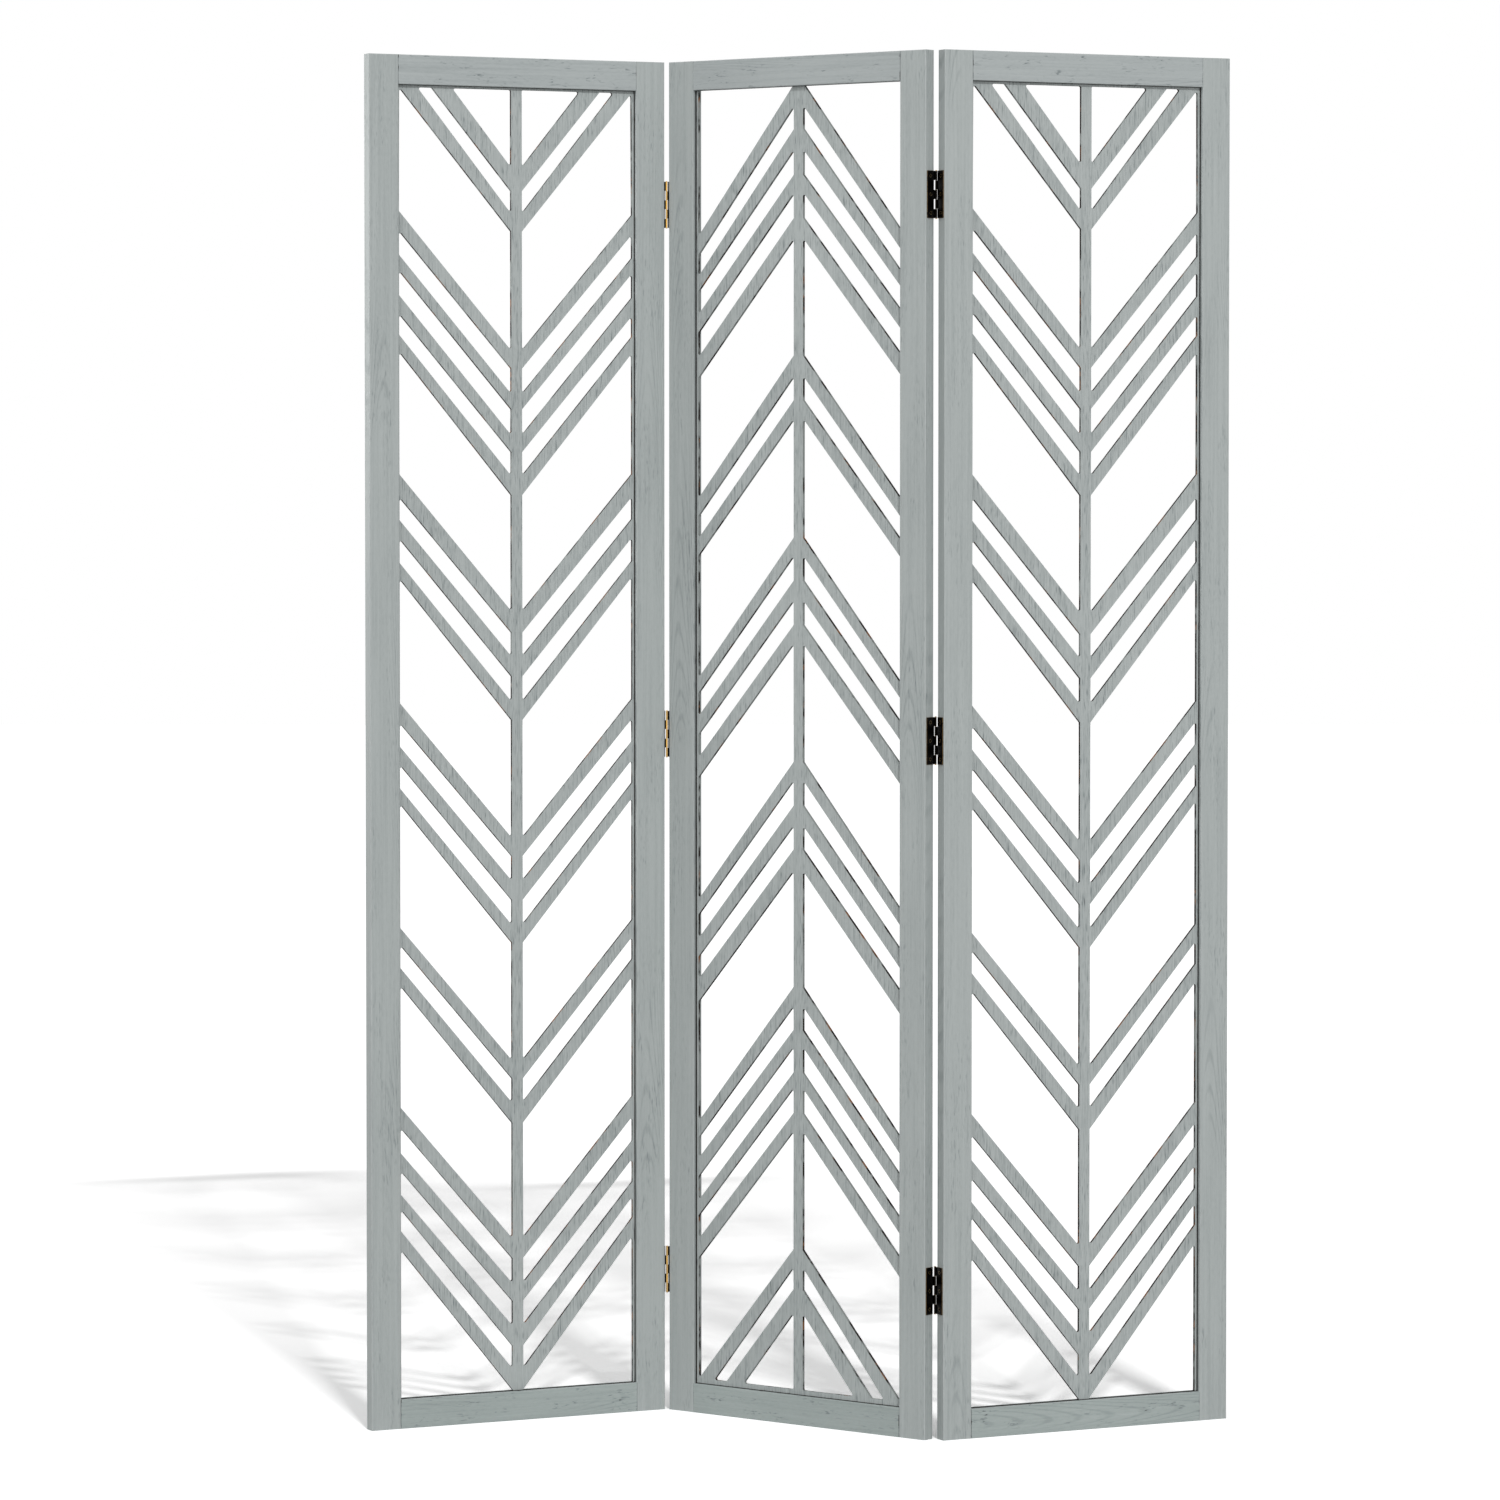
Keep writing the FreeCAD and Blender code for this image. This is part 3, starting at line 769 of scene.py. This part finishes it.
@dataclass(frozen=True)
class PanelFrame:
    """The two stiles, two rails and eight dowels of one panel, as the CAD has them."""

    stand: PanelStand

    def dress(self) -> None:
        """Give each stile, each rail and the dowels their finish."""
        name = self.stand.name
        upright = MattPaint(f"matt_paint_stiles_{name}", self.stand, GrainRun.UPRIGHT).build()
        for piece in ("left_stile", "right_stile"):
            paint_node(f"{self.stand.body}_{piece}", upright)
        # The rails are coarser boards. The foot rails' film is a little darker than the rest: painted shade at the
        # foot of the screen
        for piece, film, figure_from in (("head_rail", "A5ABAB", 0.53), ("foot_rail", "9EA7A5", 0.47)):
            level = MattPaint(f"matt_paint_{piece}_{name}", self.stand, GrainRun.LEVEL, film=film,
                              pore_cell=(2.0, 9.0), pore_depth=0.42, pore_bend=0.7,
                              patch_cell=(14.0, 40.0), patch_levels=(0.506, 0.626),
                              figure_from=figure_from).build()
            paint_node(f"{self.stand.body}_{piece}", level)
        paint_node(f"{self.stand.body}_dowels", BareBeech(self.stand).build())


@dataclass(frozen=True)
class BarGroup:
    """A group of bars, as shares of the sheet's bar pitch, bar height and bar slope."""

    pitch: float
    heights: tuple[float, ...]
    lower_slopes: tuple[float, ...]
    upper_slopes: tuple[float, ...]


@dataclass(frozen=True)
class ChevronSheet:
    """A thin plywood sheet with chevron bars at both sides of a spine, cut out of one piece."""

    stand: PanelStand
    inset: float = 31.5
    low: float = 29.5
    high: float = 1673.8
    thickness: float = 4.0
    spine: float = 14.5
    side_border: float = 3.0
    head_border: float = 3.0
    foot_overrun: float = 1.5
    cutter_radius: float = 2.0
    corner_segments: int = 5
    first_bar_rise: float = 5.5
    last_bar_drop: float = 122.5
    bar_height: float = 24.0
    bar_pitch: float = 54.5
    bar_angle: float = 48.6
    arris: float = 0.3
    # The outer sheets' cut edges are dusted less than the turned one's, so they show darker: painted shade on
    # walls that face away from the light
    dusted_from: float = 0.51
    turned_dusted_from: float = 0.42
    groups: tuple[BarGroup, ...] = (
        BarGroup(1.01, (1.11, 1.06, 0.92, 1.05), (1.08, 1.05, 1.00, 1.00), (1.06, 1.01, 1.00, 1.00)),
        BarGroup(1.00, (1.06, 0.95), (1.04, 1.01), (1.02, 1.00)),
        BarGroup(1.00, (0.93, 1.00, 0.94), (1.04, 1.01, 0.99), (1.02, 1.00, 1.00)),
        BarGroup(1.02, (0.95, 1.02, 1.09), (1.04, 1.01, 0.99), (1.02, 1.00, 1.00)),
        BarGroup(0.96, (0.99, 0.86, 0.79, 0.92), (1.04, 1.00, 1.00, 0.99), (1.02, 1.01, 1.00, 1.00)),
        BarGroup(0.985, (0.90, 1.20), (1.035, 1.04), (1.075, 1.07)),
    )

    @property
    def head(self) -> float:
        """The height at which the openings end."""
        return PANEL_HEIGHT - RAIL_WIDTH - self.head_border

    def edge_lines(self) -> list[Pair]:
        """Work out the edges of the openings from the foot up.

        Returns:
            Lines as (height at the spine's middle, slope): the foot line, the two edges of each bar,
            and the head line.
        """
        slope = math.tan(math.radians(self.bar_angle))
        run = sum(self.bar_pitch * group.pitch * (len(group.heights) - 1) for group in self.groups)
        window = PANEL_HEIGHT - 2 * RAIL_WIDTH
        step = (window - self.first_bar_rise - self.last_bar_drop - run) / (len(self.groups) - 1)
        # A border has a slope just above 0, so that the tree can divide by it
        level = 1e-6
        lines = [(RAIL_WIDTH - self.foot_overrun, level)]
        height = RAIL_WIDTH + self.first_bar_rise
        for group in self.groups:
            for bar, lower, upper in zip(group.heights, group.lower_slopes, group.upper_slopes):
                half = self.bar_height * bar / 2
                lines += [(height - half, slope * lower), (height + half, slope * upper)]
                height += self.bar_pitch * group.pitch
            height += step - self.bar_pitch * group.pitch
        return lines + [(self.head, level)]

    def seed(self) -> bpy.types.Mesh:
        """Make one point for each opening, with its two edge lines and its side of the spine.

        Returns:
            The mesh of points.
        """
        lines = self.edge_lines()
        openings = [(side, *below, *above) for below, above in zip(lines[::2], lines[1::2])
                    for side in (-1.0, 1.0)]
        mesh = bpy.data.meshes.new(f"{self.stand.name}_openings")
        mesh.from_pydata([(0.0, 0.0, 0.0)] * len(openings), [], [])
        names = ("side", "below_start", "below_slope", "above_start", "above_slope")
        for name, values in zip(names, zip(*openings)):
            mesh.attributes.new(name, "FLOAT", "POINT").data.foreach_set("value", values)
        return mesh

    @staticmethod
    def tree() -> bpy.types.NodeTree:
        """Build the Geometry Nodes tree that cuts the openings out of a sheet.

        Returns:
            The tree, whose sizes are named inputs in mm.
        """
        tree, add, given = new_tree("chevron_sheet", {
            "Geometry": ("Openings",),
            "Float": ("Spine", "Opening End", "Head", "Cutter Radius", "Thickness"),
            "Int": ("Corner Segments",),
            "Vector": ("Sheet Size", "Sheet Middle", "Panel Turn", "Panel Place", "Stand Turn",
                       "Stand Place"),
            "Material": ("Paint", "Cut Edge")})

        # Each opening starts as a ring of five corners. A corner's distance from the spine is the
        # near end, the far end or the place where an edge line meets the head
        ring = add("GeometryNodeMeshCircle", {"Vertices": 5, "Radius": 1.0})
        rings = add("GeometryNodeInstanceOnPoints", {"Points": given["Openings"], "Instance": ring})
        rings = add("GeometryNodeRealizeInstances", [rings])
        corner = add("ShaderNodeMath", [add("GeometryNodeInputIndex"), 5.0], operation="MODULO")
        line = {name: add("GeometryNodeInputNamedAttribute", {"Name": name})
                for name in ("side", "below_start", "below_slope", "above_start", "above_slope")}
        near = add("ShaderNodeMath", [given["Spine"], 0.5], operation="MULTIPLY")
        ends = {}
        for edge in ("below", "above"):
            to_head = add("ShaderNodeMath", [given["Head"], line[f"{edge}_start"]], operation="SUBTRACT")
            meets = add("ShaderNodeMath", [to_head, line[f"{edge}_slope"]], operation="DIVIDE")
            ends[edge] = add("ShaderNodeClamp", [meets, near, given["Opening End"]])
        distance = add("GeometryNodeIndexSwitch", data_type="FLOAT")
        for _ in range(3):
            distance.index_switch_items.new()
        connect(distance, {"Index": corner, "0": near, "1": ends["below"], "2": ends["below"],
                           "3": ends["above"], "4": near})
        is_above = add("ShaderNodeMath", [corner, 1.5], operation="GREATER_THAN")
        start, slope = (
            add("ShaderNodeMix", {0: is_above, 2: line[f"below_{part}"], 3: line[f"above_{part}"]},
                data_type="FLOAT") for part in ("start", "slope"))
        on_line = add("ShaderNodeMath", [slope, distance, start], operation="MULTIPLY_ADD")
        height = add("ShaderNodeMath", [on_line, given["Head"]], operation="MINIMUM")
        across = add("ShaderNodeMath", [distance, line["side"]], operation="MULTIPLY")
        place = add("ShaderNodeCombineXYZ", [across, height])
        rings = add("GeometryNodeSetPosition", {"Geometry": rings, "Position": place})
        # Corners that fall on each other, or closer than the cutter's radius, become one
        rings = add("GeometryNodeMergeByDistance", {
            "Geometry": rings, "Distance": given["Cutter Radius"]})
        outlines = add("GeometryNodeFilletCurve", {
            "Curve": add("GeometryNodeMeshToCurve", {"Mesh": rings}), "Count": given["Corner Segments"],
            "Radius": given["Cutter Radius"], "Limit Radius": True}, mode="POLY")

        # The sheet's own outline, filled up to the openings and given its thickness
        size = add("ShaderNodeSeparateXYZ", [given["Sheet Size"]]).outputs
        border = add("GeometryNodeCurvePrimitiveQuadrilateral", {"Width": size[0], "Height": size[1]})
        border = add("GeometryNodeTransform", {"Geometry": border, "Translation": given["Sheet Middle"]})
        curves = add("GeometryNodeJoinGeometry", {0: [border, outlines]})
        back = add("GeometryNodeFillCurve", {"Curve": curves}, mode="NGONS")
        raised = add("GeometryNodeExtrudeMesh", {
            "Mesh": back, "Offset": add("ShaderNodeCombineXYZ", {2: given["Thickness"]}),
            "Offset Scale": 1.0, "Individual": False})
        turned = add("GeometryNodeFlipFaces", {"Mesh": back})
        shell = add("GeometryNodeJoinGeometry", {0: [turned, raised]})
        closed = add("GeometryNodeMergeByDistance", {"Geometry": shell, "Distance": 0.001})

        # From the drawing plane into the panel, upside down where it hangs so, then to its stand
        laid = add("GeometryNodeTransform", {
            "Geometry": closed, "Rotation": given["Panel Turn"], "Translation": given["Panel Place"]})
        stood = add("GeometryNodeTransform", {
            "Geometry": laid, "Rotation": given["Stand Turn"], "Translation": given["Stand Place"],
            "Scale": (MM, MM, MM)})
        plain = add("GeometryNodeRealizeInstances", [stood])
        painted = add("GeometryNodeSetMaterial", {"Geometry": plain, "Material": given["Paint"]})
        edged = add("GeometryNodeSetMaterial", {
            "Geometry": painted, "Selection": raised.outputs["Side"], "Material": given["Cut Edge"]})
        add("NodeGroupOutput", [edged])
        return tree

    def build(self, tree: bpy.types.NodeTree) -> bpy.types.Object:
        """Make the sheet in its finish, in place of the CAD's.

        Args:
            tree: The tree from tree().

        Returns:
            The finished piece.
        """
        flipped = self.stand.upside_down
        paint = MattPaint(f"matt_paint_lattice_{self.stand.name}", self.stand, GrainRun.UPRIGHT,
                          pore_cell=(1.4, 16.0), pore_depth=0.34, patch_levels=(0.335, 0.455),
                          streak_cell=(1.8, 34.0), streak_gain=0.7, figure_depth=0.0,
                          is_frame=False).build()
        # The outer sheets' cut edges show darker as painted shade
        dusted_from = self.turned_dusted_from if flipped else self.dusted_from
        edge = CutPlyEdge(self.stand, dusted_from=dusted_from).build()
        piece = grow_mesh(f"{self.stand.body}_chevron_sheet", self.seed(), tree, self, {
            "Opening End": PANEL_WIDTH / 2 - STILE_WIDTH - self.side_border, "Head": self.head,
            "Sheet Size": (PANEL_WIDTH - 2 * self.inset, self.high - self.low, 0.0),
            "Sheet Middle": (0.0, (self.high + self.low) / 2, 0.0),
            "Panel Turn": (0.0, 0.0, math.pi if flipped else 0.0),
            "Panel Place": (PANEL_WIDTH / 2, self.high + self.low if flipped else 0.0,
                            -(FRAME_THICKNESS + self.thickness) / 2),
            "Stand Turn": (math.pi / 2, 0.0, math.radians(self.stand.turn)),
            "Stand Place": tuple(self.stand.point(0.0, 0.0, 0.0)),
            "Paint": paint, "Cut Edge": edge})
        bevel = piece.modifiers.new("arris", "BEVEL")
        bevel.width = self.arris * MM
        bevel.segments = 1
        bevel.limit_method = "ANGLE"
        bevel.angle_limit = math.radians(50)
        settle(piece)
        piece.data.shade_smooth()
        piece.data.set_sharp_from_angle(angle=math.radians(36))
        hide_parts(f"{self.stand.body}_lattice")
        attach(piece, self.stand.body)
        log.info("built %s with %d faces", piece.name, len(piece.data.polygons))
        return piece


@dataclass(frozen=True)
class ScrewSet:
    """The countersunk screws of every leaf on one panel, cross-recessed and turned at random."""

    stand: PanelStand
    seed: int
    leaf_thickness: float = 1.0
    inset: float = 7.7
    spacing: float = 22.6
    head_radius: float = 2.3
    shank_radius: float = 1.2
    tip_radius: float = 0.2
    length: float = 14.0
    tip_length: float = 2.5
    recess_width: float = 0.6
    recess_length: float = 2.6
    recess_depth: float = 0.5

    def places(self) -> bpy.types.Mesh:
        """Make one point for each screw, at its head, with the way that the head looks.

        Returns:
            The mesh of points.
        """
        points, aims = [], []
        for edge in self.stand.edges:
            towards = -1 if edge.right_hand else 1
            across, depth = edge.pin()
            across += towards * (edge.half_gap - self.leaf_thickness)
            depth += (-1 if edge.pin_behind else 1) * (edge.pin_standoff + self.inset)
            for centre in HINGE_HEIGHTS[edge.joint]:
                for step in (-1, 0, 1):
                    points.append(self.stand.point(across, depth, centre + step * self.spacing))
                    aims.extend(self.stand.direction(-towards, 0.0))
        mesh = bpy.data.meshes.new(f"{self.stand.body}_screw_places")
        mesh.from_pydata(points, [], [])
        mesh.attributes.new("aim", "FLOAT_VECTOR", "POINT").data.foreach_set("vector", aims)
        return mesh

    @staticmethod
    def tree() -> bpy.types.NodeTree:
        """Build the Geometry Nodes tree that turns and recesses one screw and sets it at each place.

        Returns:
            The tree, whose sizes are named inputs in mm.
        """
        tree, add, given = new_tree("countersunk_screws", {
            "Geometry": ("Places",),
            "Float": ("Head Radius", "Leaf Thickness", "Shank Radius", "Tip Radius", "Length",
                      "Tip Length", "Recess Width", "Recess Length", "Recess Depth"),
            "Int": ("Seed",),
            "Material": ("Metal",)})

        # A cylinder of four rings, each moved to its own height and radius: tip, shank, neck, head
        blank = add("GeometryNodeMeshCylinder", {
            "Vertices": 24, "Side Segments": 3, "Radius": 1.0, "Depth": 3.0})
        spot = add("GeometryNodeInputPosition")
        parts = add("ShaderNodeSeparateXYZ", [spot]).outputs
        ring = add("ShaderNodeMath", [parts[2], 1.5], operation="ADD")
        ring = add("ShaderNodeMath", [ring], operation="ROUND")
        shank_end = add("ShaderNodeMath", [
            given["Tip Length"], given["Length"]], operation="SUBTRACT")
        point_end, neck = (add("ShaderNodeMath", [given[size], -1.0], operation="MULTIPLY")
                           for size in ("Length", "Leaf Thickness"))
        picked = []
        for values in ((given["Tip Radius"], given["Shank Radius"], given["Shank Radius"],
                        given["Head Radius"]), (point_end, shank_end, neck, 0.0)):
            pick = add("GeometryNodeIndexSwitch", data_type="FLOAT")
            for _ in range(2):
                pick.index_switch_items.new()
            connect(pick, {"Index": ring, **{str(at): value for at, value in enumerate(values)}})
            picked.append(pick)
        radius, height = picked
        flat = [add("ShaderNodeMath", [parts[axis], radius], operation="MULTIPLY") for axis in (0, 1)]
        place = add("ShaderNodeCombineXYZ", [flat[0], flat[1], height])
        turned = add("GeometryNodeSetPosition", {"Geometry": blank, "Position": place})

        depth = add("ShaderNodeMath", [given["Recess Depth"], 2.0], operation="MULTIPLY")
        bars = [add("GeometryNodeMeshCube", {
            "Size": add("ShaderNodeCombineXYZ", [given[wide], given[long], depth])})
            for wide, long in (("Recess Width", "Recess Length"), ("Recess Length", "Recess Width"))]
        cross = add("GeometryNodeMeshBoolean", {"Mesh 1": turned, "Mesh 2": bars},
                    operation="DIFFERENCE", solver="EXACT")

        # The distance from the screw's axis, as a share of the head, is kept for the finish
        flat_spot = add("ShaderNodeVectorMath", [spot, (1.0, 1.0, 0.0)], operation="MULTIPLY")
        reach = add("ShaderNodeVectorMath", [flat_spot], operation="LENGTH")
        share = add("ShaderNodeMath", [reach, given["Head Radius"]], operation="DIVIDE")
        screw = add("GeometryNodeStoreNamedAttribute", {
            "Geometry": cross, "Name": "from_axis", "Value": share})

        aim = add("GeometryNodeInputNamedAttribute", {"Name": "aim"}, data_type="FLOAT_VECTOR")
        outwards = add("FunctionNodeAlignRotationToVector", {"Vector": aim}, axis="Z")
        angle = add("FunctionNodeRandomValue", {2: 0.0, 3: math.pi, "Seed": given["Seed"]},
                    data_type="FLOAT")
        driven = add("FunctionNodeAxisAngleToRotation", {"Axis": (0.0, 0.0, 1.0), "Angle": angle})
        rotation = add("FunctionNodeRotateRotation", [outwards, driven], rotation_space="LOCAL")
        screws = add("GeometryNodeInstanceOnPoints", {
            "Points": given["Places"], "Instance": screw, "Rotation": rotation, "Scale": (MM, MM, MM)})
        plain = add("GeometryNodeRealizeInstances", [screws])
        metal = add("GeometryNodeSetMaterial", {"Geometry": plain, "Material": given["Metal"]})
        add("NodeGroupOutput", [metal])
        return tree

    def build(self, tree: bpy.types.NodeTree, metal: bpy.types.Material) -> bpy.types.Object:
        """Make the screws in place of the CAD's.

        Args:
            tree: The tree from tree().
            metal: The screws' finish.

        Returns:
            The finished piece.
        """
        body = self.stand.body
        replaced = [name for name in frame["record"]["behaviour"]["bodies"][body]
                    if name.endswith("_screws")]
        piece = grow_mesh(f"{body}_hinge_screws", self.places(), tree, self, {"Metal": metal})
        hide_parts(*replaced)
        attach(piece, body)
        log.info("built %s with %d faces", piece.name, len(piece.data.polygons))
        return piece


@dataclass(frozen=True)
class HingeLine:
    """The three butt hinges of one joint: leaves and pins as the CAD has them."""

    joint: str
    open_side: Pair
    # The colours of the barrels' painted highlights, on the outer and the inner leaf
    outer_barrel: str = "D0A75E"
    inner_barrel: str = "BFA06A"

    def dress(self, brass: bpy.types.Material) -> None:
        """Give the leaves and pins their finish.

        Args:
            brass: The pins' finish.
        """
        outer, inner = (BronzedSteel(f"bronzed_steel_{self.joint}_{side}", self.joint, self.open_side,
                                     barrel).build()
                        for side, barrel in (("outer", self.outer_barrel), ("inner", self.inner_barrel)))
        for level in ("lower", "middle", "upper"):
            hinge = f"{self.joint}_{level}_hinge"
            paint_node(f"{hinge}_outer_leaf", outer)
            paint_node(f"{hinge}_inner_leaf", inner)
            paint_node(f"{hinge}_pin", brass)


# Studio


@dataclass(frozen=True)
class SoftLamp:
    """A soft lamp that faces the screen, placed by its bearing from the front and its elevation.

    Its level is 1 where a surface that faces it renders as written. Its width and distance are in
    metres. A lamp with no distance is as far off as the sun, so it lights the whole floor evenly, and
    its width is an angle. A lamp with a height is a level strip.
    """

    name: str
    bearing: float
    elevation: float
    level: float
    width: float
    distance: float | None = None
    height: float | None = None

    def build(self, floor: bpy.types.Object) -> None:
        """Make the lamp. One that stands near the screen lights the screen alone.

        Args:
            floor: The studio's floor.
        """
        lamp = bpy.data.lights.new(self.name, "AREA" if self.distance else "SUN")
        if self.distance:
            lamp.shape = "RECTANGLE"
            lamp.size, lamp.size_y = self.width, self.height or self.width
            lamp.energy = self.level * (math.pi * self.distance) ** 2
        else:
            lamp.angle = math.radians(self.width)
            lamp.energy = self.level * math.pi
        bearing, elevation = math.radians(self.bearing), math.radians(self.elevation)
        out = Vector((math.sin(bearing) * math.cos(elevation),
                      -math.cos(bearing) * math.cos(elevation), math.sin(elevation)))
        holder = bpy.data.objects.new(self.name, lamp)
        holder.location = Vector((0.0, 0.0, PANEL_HEIGHT / 2 * MM)) + out * (self.distance or 0.0)
        holder.rotation_euler = out.to_track_quat("Z", "Y").to_euler()
        holder.visible_camera = False
        bpy.context.scene.collection.objects.link(holder)
        if self.distance and not self.height:
            spared = bpy.data.collections.new(f"{self.name}_spares")
            spared.objects.link(floor)
            holder.light_linking.receiver_collection = spared
            spared.collection_objects[0].light_linking.link_state = "EXCLUDE"


@dataclass(frozen=True)
class Studio:
    """A plain pale floor, soft light and the camera of the photograph."""

    camera_place: tuple[float, float, float] = (-82.21, -7578.02, 1202.75)
    camera_yaw: float = -0.16
    camera_pitch: float = -2.05
    lens: float = 146.6
    sensor_width: float = 36.0
    shift: float = -0.0485
    daylight: float = 0.35
    floor_grey: str = "DADADA"
    # The floor's strength to the eye, at which it looks white where the lamps reach it
    floor_seen: float = 1.76
    floor_reach: float = 20000.0

    def build(self) -> None:
        """Make the camera, the lamps, the world and the floor."""
        self.add_camera()
        floor = self.add_floor()
        # The key is a strip that looks 5.5 degrees wide and 0.6 degrees tall. It blurs the shadows of
        # upright pieces, but not those of level ones
        for lamp in (SoftLamp("key_lamp", 13.0, 32.5, 0.455, 96.0, distance=1000.0, height=10.5),
                     SoftLamp("side_lamp", 45.0, 15.0, 0.11, 1.5, distance=3.0),
                     SoftLamp("top_lamp", -30.0, 48.0, 0.075, 1.2, distance=2.6),
                     SoftLamp("rim_lamp", -112.0, 20.0, 0.35, 0.8, distance=2.0),
                     SoftLamp("fill_lamp", -42.0, 15.0, 0.19, 60.0)):
            lamp.build(floor)
        self.add_world()
        bpy.context.scene.view_settings.view_transform = "Standard"

    def add_camera(self) -> None:
        """Make the scene's camera."""
        lens = bpy.data.cameras.new("camera")
        lens.lens = self.lens
        lens.sensor_width = self.sensor_width
        lens.shift_y = self.shift
        camera = bpy.data.objects.new("camera", lens)
        camera.location = Vector(self.camera_place) * MM
        pitch, yaw = math.radians(90.0 + self.camera_pitch), math.radians(self.camera_yaw)
        camera.rotation_euler = (pitch, 0.0, yaw)
        bpy.context.scene.collection.objects.link(camera)
        bpy.context.scene.camera = camera

    @staticmethod
    def seen(add: Adder) -> Source:
        """Tell the rays that show the backdrop from those that light a surface.

        Args:
            add: Adds a node to the backdrop's tree.

        Returns:
            What gives 1 for a ray that shows the backdrop.
        """
        path = add("ShaderNodeLightPath").outputs
        shown = path["Is Camera Ray"]
        for ray in ("Is Glossy Ray", "Is Transmission Ray"):
            shown = add("ShaderNodeMath", [shown, path[ray]], operation="MAXIMUM")
        return shown

    def add_world(self) -> None:
        """Make a world that looks white and lights the screen evenly."""
        world = bpy.data.worlds.new("studio")
        world.use_nodes = True
        world.node_tree.nodes.clear()
        add = partial(add_node, world.node_tree)
        soft, white = (add("ShaderNodeBackground", [linear("FFFFFF"), strength])
                       for strength in (self.daylight, 1.0))
        mixed = add("ShaderNodeMixShader", [self.seen(add), soft, white])
        add("ShaderNodeOutputWorld", {"Surface": mixed})
        bpy.context.scene.world = world

    def add_floor(self) -> bpy.types.Object:
        """Make a floor that looks white and keeps the screen's shadow.

        Returns:
            The floor.
        """
        mesh = bpy.data.meshes.new("studio_floor")
        reach = self.floor_reach * MM
        mesh.from_pydata([(-reach, -reach, 0.0), (reach, -reach, 0.0), (reach, reach, 0.0),
                          (-reach, reach, 0.0)], [], [(0, 1, 2, 3)])
        floor = bpy.data.objects.new("studio_floor", mesh)
        bpy.context.scene.collection.objects.link(floor)
        material, add = new_material("matt_studio_floor")
        # The eye sees the lit floor as white, and the screen is lit by its real grey
        colour = add("ShaderNodeMix", {
            0: self.seen(add), 6: linear(self.floor_grey), 7: (*[self.floor_seen] * 3, 1.0)},
            data_type="RGBA")
        add("ShaderNodeOutputMaterial", {"Surface": add("ShaderNodeBsdfDiffuse", [colour])})
        mesh.materials.append(material)
        return floor


def main() -> None:
    """Build the screen piece by piece."""
    logging.basicConfig(level=logging.INFO, format="%(name)s: %(message)s")
    Studio().build()

    left = PanelStand("left", 0, 25.6, (HingeEdge("left", right_hand=True, pin_behind=False),))
    middle = PanelStand("middle", 1, -38.0, (
        HingeEdge("left", right_hand=False, pin_behind=False),
        HingeEdge("right", right_hand=True, pin_behind=True)), upside_down=True)
    right = PanelStand("right", 2, 25.6, (HingeEdge("right", right_hand=False, pin_behind=True),))
    stands = (left, middle, right)
    sheet_tree = ChevronSheet.tree()
    for stand in stands:
        PanelFrame(stand).dress()
        ChevronSheet(stand).build(sheet_tree)

    brass = WornBrass().build()
    # The side that each joint's barrels get their painted highlight on
    for joint, open_side in (("left", (0.6, -0.8)), ("right", (0.35, 0.94))):
        HingeLine(joint, open_side).dress(brass)

    screw_tree = ScrewSet.tree()
    metal = PlatedScrew().build()
    for seed, stand in enumerate(stands, start=1):
        ScrewSet(stand, seed).build(screw_tree, metal)


if __name__ == "__main__":
    main()
